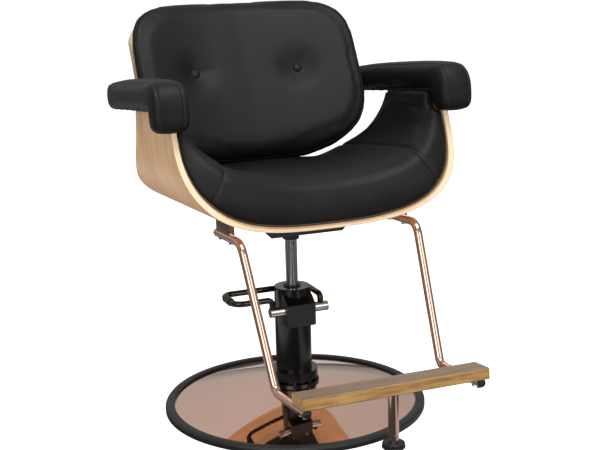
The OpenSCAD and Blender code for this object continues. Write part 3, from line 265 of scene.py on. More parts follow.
def rgb(hex_text):
    """A colour as it looks on screen, turned into the linear numbers that shaders use."""
    parts = [int(hex_text[i:i + 2], 16) / 255 for i in (0, 2, 4)]
    return [p / 12.92 if p <= 0.04045 else ((p + 0.055) / 1.055) ** 2.4 for p in parts] + [1]


def mix(tree, factor, first, second):
    node = tree.nodes.new("ShaderNodeMix")
    node.data_type = "RGBA"
    sockets = [node.inputs[0]] + [s for s in node.inputs if s.type == "RGBA"]
    for socket, value in zip(sockets, (factor, first, second)):
        if isinstance(value, bpy.types.NodeSocket):
            tree.links.new(value, socket)
        else:
            socket.default_value = value
    return [s for s in node.outputs if s.type == "RGBA"][0]


print("black on screen is", [round(part, 4) for part in rgb("0a0a0a")[:3]], "in the shader")

# %% [markdown]
# Leather is a skin of tiny cells with slightly uneven colour. The group makes both:
# rounded cells for the pores, and a slow cloudiness that shifts the tone. Both are
# shared by the seat, the arms and the back, each with its own scale.

# %% Shared effect: leather skin
skin, skin_in, skin_out = new_group(
    "leather_skin", {"Cells per metre": 900.0, "Clouds per metre": 9.0},
    ("Height", "Tone", "Gloss"))
cells = add(skin, "TexVoronoi", {"Vector": skin_in.outputs["Vector"], "Randomness": 1.0,
                                 "Scale": skin_in.outputs["Cells per metre"]}, feature="SMOOTH_F1")
fine = add(skin, "TexNoise", {"Vector": skin_in.outputs["Vector"], "Scale": 320.0, "Detail": 3.0})
height = add(skin, "Math", {0: cells.outputs["Distance"], 1: fine.outputs["Fac"]}, operation="ADD")
clouds = add(skin, "TexNoise", {"Vector": skin_in.outputs["Vector"], "Detail": 3.0, "Roughness": 0.6,
                                "Scale": skin_in.outputs["Clouds per metre"]})
tone = add(skin, "MapRange", {"Value": clouds.outputs["Fac"], "From Min": 0.3, "From Max": 0.7})
gloss = add(skin, "MapRange", {"Value": fine.outputs["Fac"], "From Min": 0.25, "From Max": 0.75,
                               "To Min": -0.04, "To Max": 0.05})
skin.links.new(height.outputs[0], skin_out.inputs["Height"])
skin.links.new(tone.outputs[0], skin_out.inputs["Tone"])
skin.links.new(gloss.outputs[0], skin_out.inputs["Gloss"])


def leather(name, dark, light, rough, depth=0.12):
    finish, tree, shader, place = new_finish(name)
    grain = use_group(tree, skin, {"Vector": place})
    colour = mix(tree, grain.outputs["Tone"], rgb(dark), rgb(light))
    shine = add(tree, "Math", {0: grain.outputs["Gloss"], 1: rough}, operation="ADD")
    bump = add(tree, "Bump", {"Height": grain.outputs["Height"], "Strength": depth, "Distance": 0.0004})
    tree.links.new(colour, shader.inputs["Base Color"])
    tree.links.new(shine.outputs[0], shader.inputs["Roughness"])
    tree.links.new(bump.outputs[0], shader.inputs["Normal"])
    shader.inputs["Specular IOR Level"].default_value = 0.24
    return finish


black_leather = leather("black_leather", "090908", "0e0e0d", 0.53)
print("leather grain is shared by", skin.name)

# %% [markdown]
# Bent plywood shows two faces. Its broad sides are a thin sheet of tan veneer with
# long fine grain; its edges show the glued layers, light and dark by turns. Nothing
# in the mesh says which is which, but the place does: the shell is a rounded U, so a
# formula tells how deep a point lies between the outer and the inner skin.

# %% Shared effect: wood grain
grain, grain_in, grain_out = new_group(
    "wood_grain", {"Fibres": 60.0, "Waves": 5.0},
    ("Tone", "Height"))
bend = add(grain, "TexNoise", {"Vector": grain_in.outputs["Vector"], "Scale": grain_in.outputs["Waves"],
                               "Detail": 2.0})
fibres = add(grain, "TexNoise", {"Vector": grain_in.outputs["Vector"], "Scale": grain_in.outputs["Fibres"],
                                 "Detail": 5.0, "Roughness": 0.62, "Distortion": 0.4})
blend_fibres = add(grain, "Math", {0: fibres.outputs["Fac"], 1: 0.72}, operation="MULTIPLY")
blend_bend = add(grain, "Math", {0: bend.outputs["Fac"], 1: 0.28, 2: blend_fibres.outputs[0]},
                 operation="MULTIPLY_ADD")
grain_tone = add(grain, "MapRange", {"Value": blend_bend.outputs[0], "From Min": 0.34, "From Max": 0.66})
grain.links.new(grain_tone.outputs[0], grain_out.inputs["Tone"])
grain.links.new(fibres.outputs["Fac"], grain_out.inputs["Height"])
print("wood grain in", len(grain.nodes), "nodes")

# %% [markdown]
# The layers: the first lines work out how deep a point lies, as a share of the shell's
# thickness. Edge is one between the two skins, and Line changes from ply to ply.

# %% Shared effect: plywood layers
layers, layers_in, layers_out = new_group(
    "ply_layers",
    {"Half width": 0.297, "Depth": 0.203, "Power": 2.75, "Thickness": 0.012, "Plies": 9.0, "Skin": 0.06},
    ("Edge", "Line"))
parts = add(layers, "SeparateXYZ", {0: layers_in.outputs["Vector"]})
across = add(layers, "Math", {0: parts.outputs["X"]}, operation="ABSOLUTE")
across = add(layers, "Math", {0: across.outputs[0], 1: layers_in.outputs["Half width"]}, operation="DIVIDE")
across = add(layers, "Math", {0: across.outputs[0], 1: layers_in.outputs["Power"]}, operation="POWER")
below = add(layers, "Math", {0: layers_in.outputs["Depth"], 1: parts.outputs["Z"]}, operation="SUBTRACT")
below = add(layers, "Math", {0: below.outputs[0], 1: 0.0}, operation="MAXIMUM")
below = add(layers, "Math", {0: below.outputs[0], 1: layers_in.outputs["Depth"]}, operation="DIVIDE")
below = add(layers, "Math", {0: below.outputs[0], 1: layers_in.outputs["Power"]}, operation="POWER")
total = add(layers, "Math", {0: across.outputs[0], 1: below.outputs[0]}, operation="ADD")
root = add(layers, "Math", {0: 1.0, 1: layers_in.outputs["Power"]}, operation="DIVIDE")
share = add(layers, "Math", {0: total.outputs[0], 1: root.outputs[0]}, operation="POWER")
inner = add(layers, "Math", {0: layers_in.outputs["Thickness"], 1: layers_in.outputs["Half width"]},
            operation="DIVIDE")
inward = add(layers, "Math", {0: 1.0, 1: share.outputs[0]}, operation="SUBTRACT")
deep = add(layers, "Math", {0: inward.outputs[0], 1: inner.outputs[0]}, operation="DIVIDE")
skin_end = add(layers, "Math", {0: layers_in.outputs["Skin"], 1: 0.04}, operation="ADD")
rim_low = add(layers, "MapRange", {"Value": deep.outputs[0], "From Min": layers_in.outputs["Skin"],
                                   "From Max": skin_end.outputs[0]})
rim_high = add(layers, "MapRange", {"Value": deep.outputs[0], "From Min": 0.94, "From Max": 0.9})
edge = add(layers, "Math", {0: rim_low.outputs[0], 1: rim_high.outputs[0]}, operation="MULTIPLY")
count = add(layers, "Math", {0: deep.outputs[0], 1: layers_in.outputs["Plies"]}, operation="MULTIPLY")
wave = add(layers, "Math", {0: count.outputs[0], 1: 1.0}, operation="PINGPONG")
line = add(layers, "MapRange", {"Value": wave.outputs[0], "From Min": 0.4, "From Max": 0.6})
layers.links.new(edge.outputs[0], layers_out.inputs["Edge"])
layers.links.new(line.outputs[0], layers_out.inputs["Line"])
print("plywood layers in", len(layers.nodes), "nodes")

# %% [markdown]
# A shell's finish puts the two effects together: veneer on its faces, plies on its
# edges, and a thin coat of varnish over both.

# %% Bent plywood
def plywood(tree, shader, local, shape, fibres, waves):
    """Veneer and glued layers, for coordinates turned so that the U stands upright."""
    ply = use_group(tree, layers, {"Vector": local, **shape})
    long_way = add(tree, "Mapping", {"Vector": local, "Scale": (0.1, 1.0, 0.1)})
    wood = use_group(tree, grain, {"Vector": long_way.outputs[0], "Fibres": fibres, "Waves": waves})
    veneer = mix(tree, wood.outputs["Tone"], rgb("a67f57"), rgb("caa277"))
    end = mix(tree, ply.outputs["Line"], rgb("e9d8bc"), rgb("c9ae88"))
    colour = mix(tree, ply.outputs["Edge"], veneer, end)
    bump = add(tree, "Bump", {"Height": wood.outputs["Height"], "Strength": 0.1, "Distance": 0.0003})
    tree.links.new(colour, shader.inputs["Base Color"])
    tree.links.new(bump.outputs[0], shader.inputs["Normal"])
    shader.inputs["Roughness"].default_value = 0.42
    shader.inputs["Coat Weight"].default_value = 0.15
    shader.inputs["Coat Roughness"].default_value = 0.25


seat_ply, tree, shader, place = new_finish("bent_plywood_seat")
local = add(tree, "Mapping", {"Vector": place, "Location": SEAT_PLACE, "Rotation": (-SEAT_TILT, 0, 0)},
            vector_type="TEXTURE")
plywood(tree, shader, local.outputs[0], {"Half width": 0.297, "Depth": 0.203, "Power": 2.75}, 60.0, 5.0)
print("plywood of the seat shell")

# %% [markdown]
# The metals differ mainly in colour and in how sharp their reflections are. Polished
# and coloured ones keep a mirror finish with faint smears; the ram is brighter steel.
# The smears are slow noise added to the roughness, so no two places shine alike.

# %% Metals
def metal(name, colour, rough, smear=0.03, scale=14.0, brushed=None):
    finish, tree, shader, place = new_finish(name)
    if brushed:
        place = add(tree, "Mapping", {"Vector": place, "Scale": brushed}).outputs[0]
    noise = add(tree, "TexNoise", {"Vector": place, "Scale": scale, "Detail": 4.0})
    shine = add(tree, "MapRange", {"Value": noise.outputs["Fac"], "From Min": 0.3, "From Max": 0.7,
                                   "To Min": rough, "To Max": rough + smear})
    tint = mix(tree, noise.outputs["Fac"], rgb(colour), [c * 0.9 for c in rgb(colour)[:3]] + [1])
    tree.links.new(tint, shader.inputs["Base Color"])
    tree.links.new(shine.outputs[0], shader.inputs["Roughness"])
    shader.inputs["Metallic"].default_value = 1.0
    return finish


rose_tube = metal("rose_gold_tube", "dcb4a2", 0.06)
rose_mirror = metal("rose_gold_mirror", "e0bdae", 0.03, 0.02, 5.0)
bright_steel = metal("bright_steel", "b4b6b9", 0.14, 0.05, 40.0, (1, 1, 0.15))
zinc_steel = metal("zinc_steel", "a9abad", 0.3, 0.1, 60.0)
spring_steel = metal("spring_steel", "6f7173", 0.35, 0.1, 80.0)
bronze = metal("bronze", "a9824e", 0.32, 0.1, 60.0)
print("finishes so far", len(bpy.data.materials))

# %% [markdown]
# Painted and moulded black parts are not metal to the eye. Powder paint has a faint
# orange peel, rubber is duller and swallows light. One recipe with different numbers
# covers both: a dark base, and a bump of fine noise.

# %% Paint, rubber and board
def coated(name, dark, light, rough, bump_scale, bump_depth, strength=0.25):
    finish, tree, shader, place = new_finish(name)
    slow = add(tree, "TexNoise", {"Vector": place, "Scale": 11.0, "Detail": 3.0})
    peel = add(tree, "TexNoise", {"Vector": place, "Scale": bump_scale, "Detail": 2.0})
    colour = mix(tree, slow.outputs["Fac"], rgb(dark), rgb(light))
    shine = add(tree, "MapRange", {"Value": slow.outputs["Fac"], "From Min": 0.3, "From Max": 0.7,
                                   "To Min": rough - 0.03, "To Max": rough + 0.05})
    bump = add(tree, "Bump", {"Height": peel.outputs["Fac"], "Strength": strength, "Distance": bump_depth})
    tree.links.new(colour, shader.inputs["Base Color"])
    tree.links.new(shine.outputs[0], shader.inputs["Roughness"])
    tree.links.new(bump.outputs[0], shader.inputs["Normal"])
    return finish


black_paint = coated("black_paint", "060606", "0c0c0c", 0.16, 700.0, 0.0001)
matt_paint = coated("matt_black_paint", "0c0c0c", "151515", 0.42, 700.0, 0.0002)
rubber = coated("black_rubber", "0c0c0c", "151514", 0.5, 900.0, 0.0003, 0.4)
plastic = coated("black_plastic", "0d0d0d", "141414", 0.36, 500.0, 0.0001)
board = coated("pulp_board", "5c4a38", "6f5a44", 0.85, 300.0, 0.0005, 0.6)
cast_iron = coated("cast_iron", "2c2c2c", "383838", 0.6, 260.0, 0.0006, 0.6)
print("finishes so far", len(bpy.data.materials))

# %% [markdown]
# The plank is a strip of light hardwood under a golden varnish. Its top is given a duller,
# browner copy of the wood colour: painted shade for the top, which takes less light than the
# front. A dark band along the bottom of the plank is painted shade under its edge. The height
# above the plank's own underside separates these parts, so the plank's tilt is taken out first.

# %% Plank finish
plank_wood, tree, shader, place = new_finish("plank_wood")
local = add(tree, "Mapping", {"Vector": place, "Location": (0, -0.504, 0.187),
                              "Rotation": (math.radians(-5.5), 0, 0)}, vector_type="TEXTURE")
along = add(tree, "Mapping", {"Vector": local.outputs[0], "Scale": (0.09, 1.0, 1.0)})
wood = use_group(tree, grain, {"Vector": along.outputs[0], "Fibres": 150.0, "Waves": 16.0})
depth_z = add(tree, "SeparateXYZ", {0: local.outputs[0]})
# Painted shade: the top face takes a duller, browner copy of the wood colour, for its weaker light.
top_shade_mask = add(tree, "MapRange", {"Value": depth_z.outputs["Z"], "From Min": 0.0292, "From Max": 0.0302})
# Painted shade: the lowest centimetre of the plank is darkened to deep brown, for the shade under its edge.
low_shade_mask = add(tree, "MapRange", {"Value": depth_z.outputs["Z"], "From Min": 0.0105, "From Max": 0.0095})
front = mix(tree, wood.outputs["Tone"], rgb("6c4a1e"), rgb("ad8445"))
shaded_top_colour = mix(tree, wood.outputs["Tone"], rgb("624d39"), rgb("8a745c"))
colour = mix(tree, top_shade_mask.outputs[0], front, shaded_top_colour)
colour = mix(tree, low_shade_mask.outputs[0], colour, rgb("3a2a17"))
bump = add(tree, "Bump", {"Height": wood.outputs["Height"], "Strength": 0.15, "Distance": 0.0003})
tree.links.new(colour, shader.inputs["Base Color"])
tree.links.new(bump.outputs[0], shader.inputs["Normal"])
shader.inputs["Roughness"].default_value = 0.4
shader.inputs["Coat Weight"].default_value = 0.2
shader.inputs["Coat Roughness"].default_value = 0.2
print("plank wood in", len(tree.nodes), "nodes")

# %% [markdown]
# The floor is pale and plain. Seen by the camera it is close to pure white, but metal
# near it would turn white all over, so a mirror ray meets a much dimmer floor with two
# pale strips on it. Each strip becomes a long thin highlight on the ram, the pump and
# the tubes. The Light Path node tells the two kinds of ray apart.

# %% Studio floor finish
FLOOR_STRIPS = [(0.0, 0.3), (0.26, 0.08), (0.315, 0.07), (0.335, 0.95), (0.375, 0.95), (0.4, 0.09),
                (0.52, 0.07), (0.54, 0.6), (0.58, 0.6), (0.6, 0.1), (1.0, 0.3)]
pale, tree, shader, place = new_finish("pale_floor")
mottle = add(tree, "TexNoise", {"Vector": place, "Scale": 2.0})
tree.links.new(mix(tree, mottle.outputs["Fac"], rgb("f4f4f4"), rgb("fafafa")), shader.inputs["Base Color"])
shader.inputs["Roughness"].default_value = 0.7
shader.inputs["Specular IOR Level"].default_value = 0.1
shader.inputs["Emission Color"].default_value = (1, 1, 1, 1)
shader.inputs["Emission Strength"].default_value = 0.7
where = add(tree, "SeparateXYZ", {0: place})
across = add(tree, "MapRange", {"Value": where.outputs["X"], "From Min": -2.0, "From Max": 2.0})
strips = add(tree, "ValToRGB", {"Fac": across.outputs[0]})
while len(strips.color_ramp.elements) < len(FLOOR_STRIPS):
    strips.color_ramp.elements.new(0.5)
for element, (spot, shade) in zip(strips.color_ramp.elements, FLOOR_STRIPS):
    element.position = spot
    element.color = (shade, shade, shade, 1)
dim = add(tree, "Emission", {"Color": strips.outputs["Color"], "Strength": 1.0})
ray = add(tree, "LightPath")
either = add(tree, "MixShader", {0: ray.outputs["Is Glossy Ray"]})
tree.links.new(shader.outputs[0], either.inputs[1])
tree.links.new(dim.outputs[0], either.inputs[2])
tree.links.new(either.outputs[0], tree.nodes["Material Output"].inputs["Surface"])
floor.data.materials.append(pale)
print("pale strips for mirror rays", len(FLOOR_STRIPS), "stops")

# %% [markdown]
# Now the finishes go onto the solids that are right as they are: all the metal, the
# wood, the rubber and the hidden parts. A table of finish and nodes is easier to check
# than fifty single lines.

# %% Dress the solids
FINISHES = [
    (rose_tube, ["footrest_tube_left", "footrest_tube_right", "tube_domes", "tube_standoffs",
                 "footrest_post"]),
    (rose_mirror, ["base_cover"]),
    (rubber, ["base_rim", "foot_pad", "pedal_grip", "piston_seal", "ram_wiper"]),
    (black_paint, ["column_flange", "pump_tube", "pump_head", "head_cap", "pedal_rod", "flange_bolts",
                   "flange_washers"]),
    (matt_paint, ["seat_plate", "arm_bracket_left", "arm_bracket_right", "seat_collar"]),
    (plastic, ["tube_plugs"]),
    (bright_steel, ["ram", "shaft_sleeves", "foot_stem", "piston", "pedal_shaft"]),
    (zinc_steel, ["tube_screws", "plank_screws", "post_screw", "seat_bolts", "shell_inserts",
                  "sleeve_screws", "collar_pin", "bracket_screws", "plate_spacers", "pedal_cam",
                  "pump_plunger"]),
    (spring_steel, ["plunger_spring", "base_plate"]),
    (bronze, ["guide_bush", "thrust_washer"]),
    (cast_iron, ["base_hub"]),
    (board, ["padding_board"]),
    (plank_wood, ["footrest_plank"]),
    (seat_ply, ["seat_shell"]),
]


def dress(piece, finish):
    piece.data.materials.clear()
    piece.data.materials.append(finish)


dressed = 0
for finish, names in FINISHES:
    for name in names:
        node = nodes[name]
        if len(node.material_slots) == 0:
            node.data.materials.append(finish)
        for slot in node.material_slots:
            slot.material = finish
        dressed += 1
print("solids dressed", dressed)

# %% [markdown]
# The back shell is a second bend of plywood, a rounded U lying on its side and leaning
# back with the cushion. The same layers group serves, once its coordinates are turned
# so that the shell's depth runs along Z. Its outer sheet is given more depth, because
# the wide flat facets of the solid cut a little inside the true curve.

# %% Back shell finish
back_ply, tree, shader, place = new_finish("bent_plywood_back")
upright = add(tree, "Mapping", {"Vector": place, "Location": BACK_PLACE, "Rotation": (-BACK_TILT, 0, 0)},
              vector_type="TEXTURE")
split = add(tree, "SeparateXYZ", {0: upright.outputs[0]})
SHELL_REAR = 0.072
flip = add(tree, "Math", {0: SHELL_REAR, 1: split.outputs["Y"]}, operation="SUBTRACT")
laid = add(tree, "CombineXYZ", {0: split.outputs["X"], 1: split.outputs["Z"], 2: flip.outputs[0]})
plywood(tree, shader, laid.outputs[0],
        {"Half width": 0.263, "Depth": 0.097, "Power": 2.6, "Skin": 0.2}, 70.0, 6.0)
for slot in nodes["back_shell"].material_slots:
    slot.material = back_ply
print("plywood of the back shell")

# %% [markdown]
# Upholstery is foam under leather, pulled tight over a board. The solids have the right
# size but hard facets. Each pad starts as a copy of its solid, is rebuilt as an even
# net of small squares, and is then blown up a little as cloth, which rounds the edges
# and crowns the faces as foam does. A cap keeps it from growing past its neighbours.

# %% Padding from the solids
def copy_of(node, name):
    piece = bpy.data.objects.new(name, nodes[node].data.copy())
    bpy.context.scene.collection.objects.link(piece)
    piece.data.materials.clear()
    pick(piece)
    bpy.ops.object.mode_set(mode="EDIT")
    bpy.ops.mesh.select_all(action="SELECT")
    bpy.ops.mesh.remove_doubles(threshold=0.00002)
    bpy.ops.mesh.normals_make_consistent(inside=False)
    bpy.ops.object.mode_set(mode="OBJECT")
    return piece


def points_of(piece):
    place = np.empty(len(piece.data.vertices) * 3)
    piece.data.vertices.foreach_get("co", place)
    return place.reshape(-1, 3)


def set_points(piece, place):
    piece.data.vertices.foreach_set("co", np.ascontiguousarray(place).ravel())
    piece.data.update()


print("the seat's solid has", len(points_of(nodes["seat_cushion"])), "points")


# %% [markdown]
# Three tools shape the copies. Relaxing evens out hard facets, swelling gives back what
# that took away, and the cloth run blows the pad up for twenty frames.

# %% Relax, inflate and swell
CLOTH_FRAMES, HELD_RADIUS, LAST_RELAX = 20, 0.05, 3


def relax(piece, rounds):
    soften = piece.modifiers.new("relax", "SMOOTH")
    soften.factor = 0.5
    soften.iterations = rounds
    bpy.ops.object.modifier_apply(modifier=soften.name)


def inflate(piece, pressure, cap, held=()):
    """Blow the pad up as cloth. No point goes further than the cap, and those near a held
    place stay where they are."""
    before = points_of(piece)
    cloth = piece.modifiers.new("padding", "CLOTH")
    cloth.settings.use_pressure = True
    cloth.settings.uniform_pressure_force = pressure
    cloth.settings.quality = 4
    cloth.settings.effector_weights.gravity = 0
    cloth.point_cache.frame_start = 1
    cloth.point_cache.frame_end = CLOTH_FRAMES
    for frame_number in range(1, CLOTH_FRAMES + 1):
        bpy.context.scene.frame_set(frame_number)
    pick(piece)
    bpy.ops.object.modifier_apply(modifier=cloth.name)
    bpy.context.scene.frame_set(1)
    after = points_of(piece)
    step = after - before
    length = np.linalg.norm(step, axis=1, keepdims=True)
    step *= np.minimum(1, cap / np.maximum(length, 1e-9))
    for place in held:
        far = np.linalg.norm(before - np.array(place), axis=1, keepdims=True)
        step *= 1 - np.exp(-(far / HELD_RADIUS) ** 4)
    set_points(piece, before + step)
    relax(piece, LAST_RELAX)
    return float(np.linalg.norm(step, axis=1).max())


def normals_of(piece):
    normals = np.empty(len(piece.data.vertices) * 3)
    piece.data.vertices.foreach_get("normal", normals)
    return normals.reshape(-1, 3)


def swell(piece, by):
    """Push every point out along its normal, to give back what the smoothing took away."""
    set_points(piece, points_of(piece) + by * normals_of(piece))


print("cloth runs", "on")

# %% [markdown]
# One function makes a pad from these steps. The solids are swollen first, so that their
# thin rims are thick enough for the even net of squares to catch them.

# %% How a pad is made
FIRST_SWELL = 0.0025


def pad(node_names, name, voxel, pressure, cap, rounds, give_back, finer_levels=1, held=()):
    """One padded piece from its solids: swell, join, rebuild, relax, blow up and make finer."""
    piece = copy_of(node_names[0], name)
    swell(piece, FIRST_SWELL)
    for other_name in node_names[1:]:
        other = copy_of(other_name, other_name + "_part")
        swell(other, FIRST_SWELL)
        pick(other)
        piece.select_set(True)
        bpy.context.view_layer.objects.active = piece
        bpy.ops.object.join()
    pick(piece)
    piece.data.remesh_voxel_size = voxel
    bpy.ops.object.voxel_remesh()
    relax(piece, rounds)
    swell(piece, give_back)
    grown = 0
    grown = inflate(piece, pressure, cap, held)
    finer = piece.modifiers.new("finer", "SUBSURF")
    finer.levels = finer.render_levels = finer_levels
    bpy.ops.object.modifier_apply(modifier=finer.name)
    bpy.ops.object.shade_smooth()
    dress(piece, black_leather)
    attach(piece, "seat")
    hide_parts(*node_names)
    print(name, "points", len(piece.data.vertices), "grown by", round(grown * 1000, 1), "mm")
    return piece


print("solids swell first by", FIRST_SWELL * 1000, "mm")

# %% [markdown]
# Four pads come out: one for the whole bucket, because its leather is one cover, one for
# each arm and one for the back. The back is held in at its two buttons.

# %% Make the pads
seat_pad = pad(["seat_cushion", "side_cushion_left", "side_cushion_right"], "seat_padding",
               voxel=0.0055, pressure=2.0, cap=0.002, rounds=16, give_back=0.0008)
arm_pads = {side: pad(["arm_pad_" + side], "arm_padding_" + side, voxel=0.005, pressure=2.5, cap=0.003,
                      rounds=12, give_back=0.0005, finer_levels=2)
            for side in ("left", "right")}
BUTTON_X, BUTTON_Z = 0.123, 0.008
button_places = [BACK_FRAME @ Vector((x, 0, BUTTON_Z)) for x in (-BUTTON_X, BUTTON_X)]
back_pad = pad(["back_cushion"], "back_padding", voxel=0.005, pressure=2.5, cap=0.003,
               rounds=24, give_back=0.001, held=button_places)

# %% [markdown]
# Leather is cut and sewn, so each pad has seams. A seam pulls the skin in along a line,
# shows a thin dark join at the bottom of that valley, and on this chair has a row of
# stitches beside it. The line is first drawn roughly in the frame of its part, then laid
# onto the pad by the nearest point of its surface. Points near it sink, which makes the
# valley in the mesh itself, and the join and the stitches are real threads laid in it.

# %% Helpers for seams
from mathutils.bvhtree import BVHTree


def placed(frame_matrix, points):
    return [frame_matrix @ Vector(point) for point in points]


def in_frame(frame_matrix, points):
    """The other way round: an array of points as seen from the straight frame."""
    inward = np.array(frame_matrix.inverted())
    return points @ inward[:3, :3].T + inward[:3, 3]


def evened(points, gap):
    """The same line with points at equal steps along it."""
    steps = [0.0]
    for first, second in zip(points, points[1:]):
        steps.append(steps[-1] + (second - first).length)
    count = max(2, round(steps[-1] / gap) + 1)
    wanted = np.linspace(0, steps[-1], count)
    columns = [np.interp(wanted, steps, [point[axis] for point in points]) for axis in range(3)]
    return [Vector(row) for row in zip(*columns)]


def laid_on(piece, points, gap):
    """Each point of the line moved to the piece's surface, with the outward direction there."""
    tree = BVHTree.FromObject(piece, bpy.context.evaluated_depsgraph_get())
    found = [tree.find_nearest(point) for point in evened(points, gap)]
    return [(spot[0], spot[1]) for spot in found if spot[0] is not None]


def sink(piece, spots, depth, width):
    """Draw the surface in along a line, most of all right on it."""
    points, normals = points_of(piece), normals_of(piece)
    far = np.full(len(points), 1.0)
    line = np.array([spot[0] for spot in spots])
    for first, second in zip(line[:-1], line[1:]):
        step = second - first
        along = np.clip((points - first) @ step / max(step @ step, 1e-12), 0, 1)
        far = np.minimum(far, np.linalg.norm(points - first - along[:, None] * step, axis=1))
    pull = depth * np.exp(-(far / width) ** 2)
    set_points(piece, points - pull[:, None] * normals)


def thread(name, points, radius, finish, closed=False):
    """A round cord along the points, made as a curve and turned into a mesh."""
    curve = bpy.data.curves.new(name, "CURVE")
    curve.dimensions = "3D"
    curve.bevel_depth = radius
    curve.bevel_resolution = 3
    curve.use_fill_caps = True
    spline = curve.splines.new("POLY")
    spline.points.add(len(points) - 1)
    for spot, point in zip(spline.points, points):
        spot.co = (*point, 1)
    spline.use_cyclic_u = closed
    piece = bpy.data.objects.new(name, curve)
    bpy.context.scene.collection.objects.link(piece)
    pick(piece)
    bpy.ops.object.convert(target="MESH")
    bpy.ops.object.shade_smooth()
    dress(piece, finish)
    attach(piece, "seat")
    return piece


print("helpers for seams ready, as", thread.__name__, "and", sink.__name__)

# %% [markdown]
# A stitch is a short bent cylinder whose ends dive into the leather. It is modelled
# once, and a whole row of copies becomes one mesh.

# %% One stitch, modelled once
STITCH_LENGTH, STITCH_RADIUS, STITCH_DIP, STITCH_GAP = 0.003, 0.00045, 0.0006, 0.0048
bpy.ops.mesh.primitive_cylinder_add(vertices=6, radius=STITCH_RADIUS, depth=STITCH_LENGTH,
                                    rotation=(0, math.pi / 2, 0))
one_stitch = bpy.context.object
bpy.ops.object.transform_apply(location=True, rotation=True, scale=True)
bpy.ops.object.mode_set(mode="EDIT")
bpy.ops.mesh.select_all(action="SELECT")
bpy.ops.mesh.subdivide(number_cuts=1)
bpy.ops.object.mode_set(mode="OBJECT")
for point in one_stitch.data.vertices:
    point.co.z -= STITCH_DIP * (abs(point.co.x) / (STITCH_LENGTH / 2)) ** 2
stitch_points = points_of(one_stitch)
stitch_faces = [list(face.vertices) for face in one_stitch.data.polygons]
bpy.data.objects.remove(one_stitch)
thread_finish = coated("sewing_thread", "1b1b1a", "262624", 0.6, 2500.0, 0.0002, 0.5)
print("one stitch has", len(stitch_faces), "faces")


# %% A row of stitches
def stitches(name, piece, spots, shift):
    """A row of stitches beside a seam, each a copy of the one above, laid on the leather."""
    line = []
    for (first, up), (second, _) in zip(spots, spots[1:]):
        side = (second - first).cross(up)
        line.append(first + side.normalized() * shift)
    beside = laid_on(piece, line, STITCH_GAP)
    all_points, all_faces = [], []
    for (spot, up), (after, _) in zip(beside, beside[1:]):
        along = (after - spot).normalized()
        side = up.cross(along).normalized()
        turn = np.array([along, side, along.cross(side)])
        start = sum(len(group) for group in all_points)
        all_points.append(stitch_points @ turn + np.array(spot + 0.0003 * up))
        all_faces += [[corner + start for corner in face] for face in stitch_faces]
    mesh = bpy.data.meshes.new(name)
    mesh.from_pydata(np.concatenate(all_points).tolist(), [], all_faces)
    row = bpy.data.objects.new(name, mesh)
    bpy.context.scene.collection.objects.link(row)
    pick(row)
    bpy.ops.object.shade_smooth()
    dress(row, thread_finish)
    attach(row, "seat")
    return len(all_points)


print("stitches stand", STITCH_GAP * 1000, "mm apart")

# %% [markdown]
# On each arm a strip of leather runs over the top and down the nose, and is sewn to the
# two side panels a finger's width in from the edges. Two seams per arm, each with one
# row of stitches on the strip's side.

# %% Seams of the arm pads
ARM_IN, ARM_FRONT, ARM_REAR, ARM_T, NOSE_LOW, NOSE_ROUND = 0.268, -0.187, 0.262, 0.052, -0.036, 0.0442
ARM_WIDE, ARM_NARROW, ARM_LENGTH = 0.067, 0.048, 0.462


def arm_width(y):
    return ARM_WIDE + (ARM_NARROW - ARM_WIDE) * (y - ARM_FRONT) / ARM_LENGTH


def arm_line(side, share):
    """Over the top of a pad and down its nose, at a share of its width from the inside."""
    middle_y, middle_z = ARM_FRONT + NOSE_ROUND, ARM_T - NOSE_ROUND
    outline = [(ARM_REAR, ARM_T), (0.1, ARM_T + 0.002)]
    outline += [(middle_y - NOSE_ROUND * math.sin(a), middle_z + NOSE_ROUND * math.cos(a))
                for a in np.linspace(0, math.pi / 2, 9)]
    outline += [(ARM_FRONT, -0.01), (ARM_FRONT, NOSE_LOW + 0.008)]
    return placed(ARM_FRAME, [(side * (ARM_IN + share * arm_width(y)), y, z) for y, z in outline])


STITCH_SHIFT, SEAM_DEPTH, SEAM_WIDTH, SEAM_THREAD = 0.0045, 0.0016, 0.0022, 0.0005
sewn = 0
for side, sign in (("left", 1), ("right", -1)):
    for tag, share, inward in (("inner", 0.14, 1), ("outer", 0.86, -1)):
        spots = laid_on(arm_pads[side], arm_line(sign, share), 0.005)
        sink(arm_pads[side], spots, SEAM_DEPTH, SEAM_WIDTH)
        spots = laid_on(arm_pads[side], [spot[0] for spot in spots], 0.004)
        thread("arm_seam_%s_%s" % (side, tag), [spot - 0.0001 * up for spot, up in spots],
               SEAM_THREAD, thread_finish)
        sewn += stitches("arm_stitches_%s_%s" % (side, tag), arm_pads[side], spots,
                         sign * inward * STITCH_SHIFT)
print("stitches on the arms", sewn)

# %% [markdown]
# The bucket is padded in three panels: a seat and two wings. Where the solids of two
# panels meet they share a row of points, so the seam is read from the solids instead of
# being measured again: the shared points on the side that faces the sitter. But first
# the rear middle of the seat is raised a little, where it closes up to the back. Only
# the faces that look upwards move, so the underside stays on its board.

# %% Crown of the seat
CROWN_RISE, CROWN_HALF, CROWN_START, CROWN_DEPTH = 0.009, 0.135, 0.06, 0.13
points = points_of(seat_pad)
local = in_frame(SEAT_FRAME, points)
rear = np.clip((local[:, 1] - CROWN_START) / CROWN_DEPTH, 0, 1) ** 2
middle = np.exp(-(local[:, 0] / CROWN_HALF) ** 4)
facing_up = np.clip(0.35 + normals_of(seat_pad)[:, 2], 0, 1)
points[:, 2] += CROWN_RISE * rear * middle * facing_up
set_points(seat_pad, points)
print("seat crown rises by", CROWN_RISE * 1000, "mm")


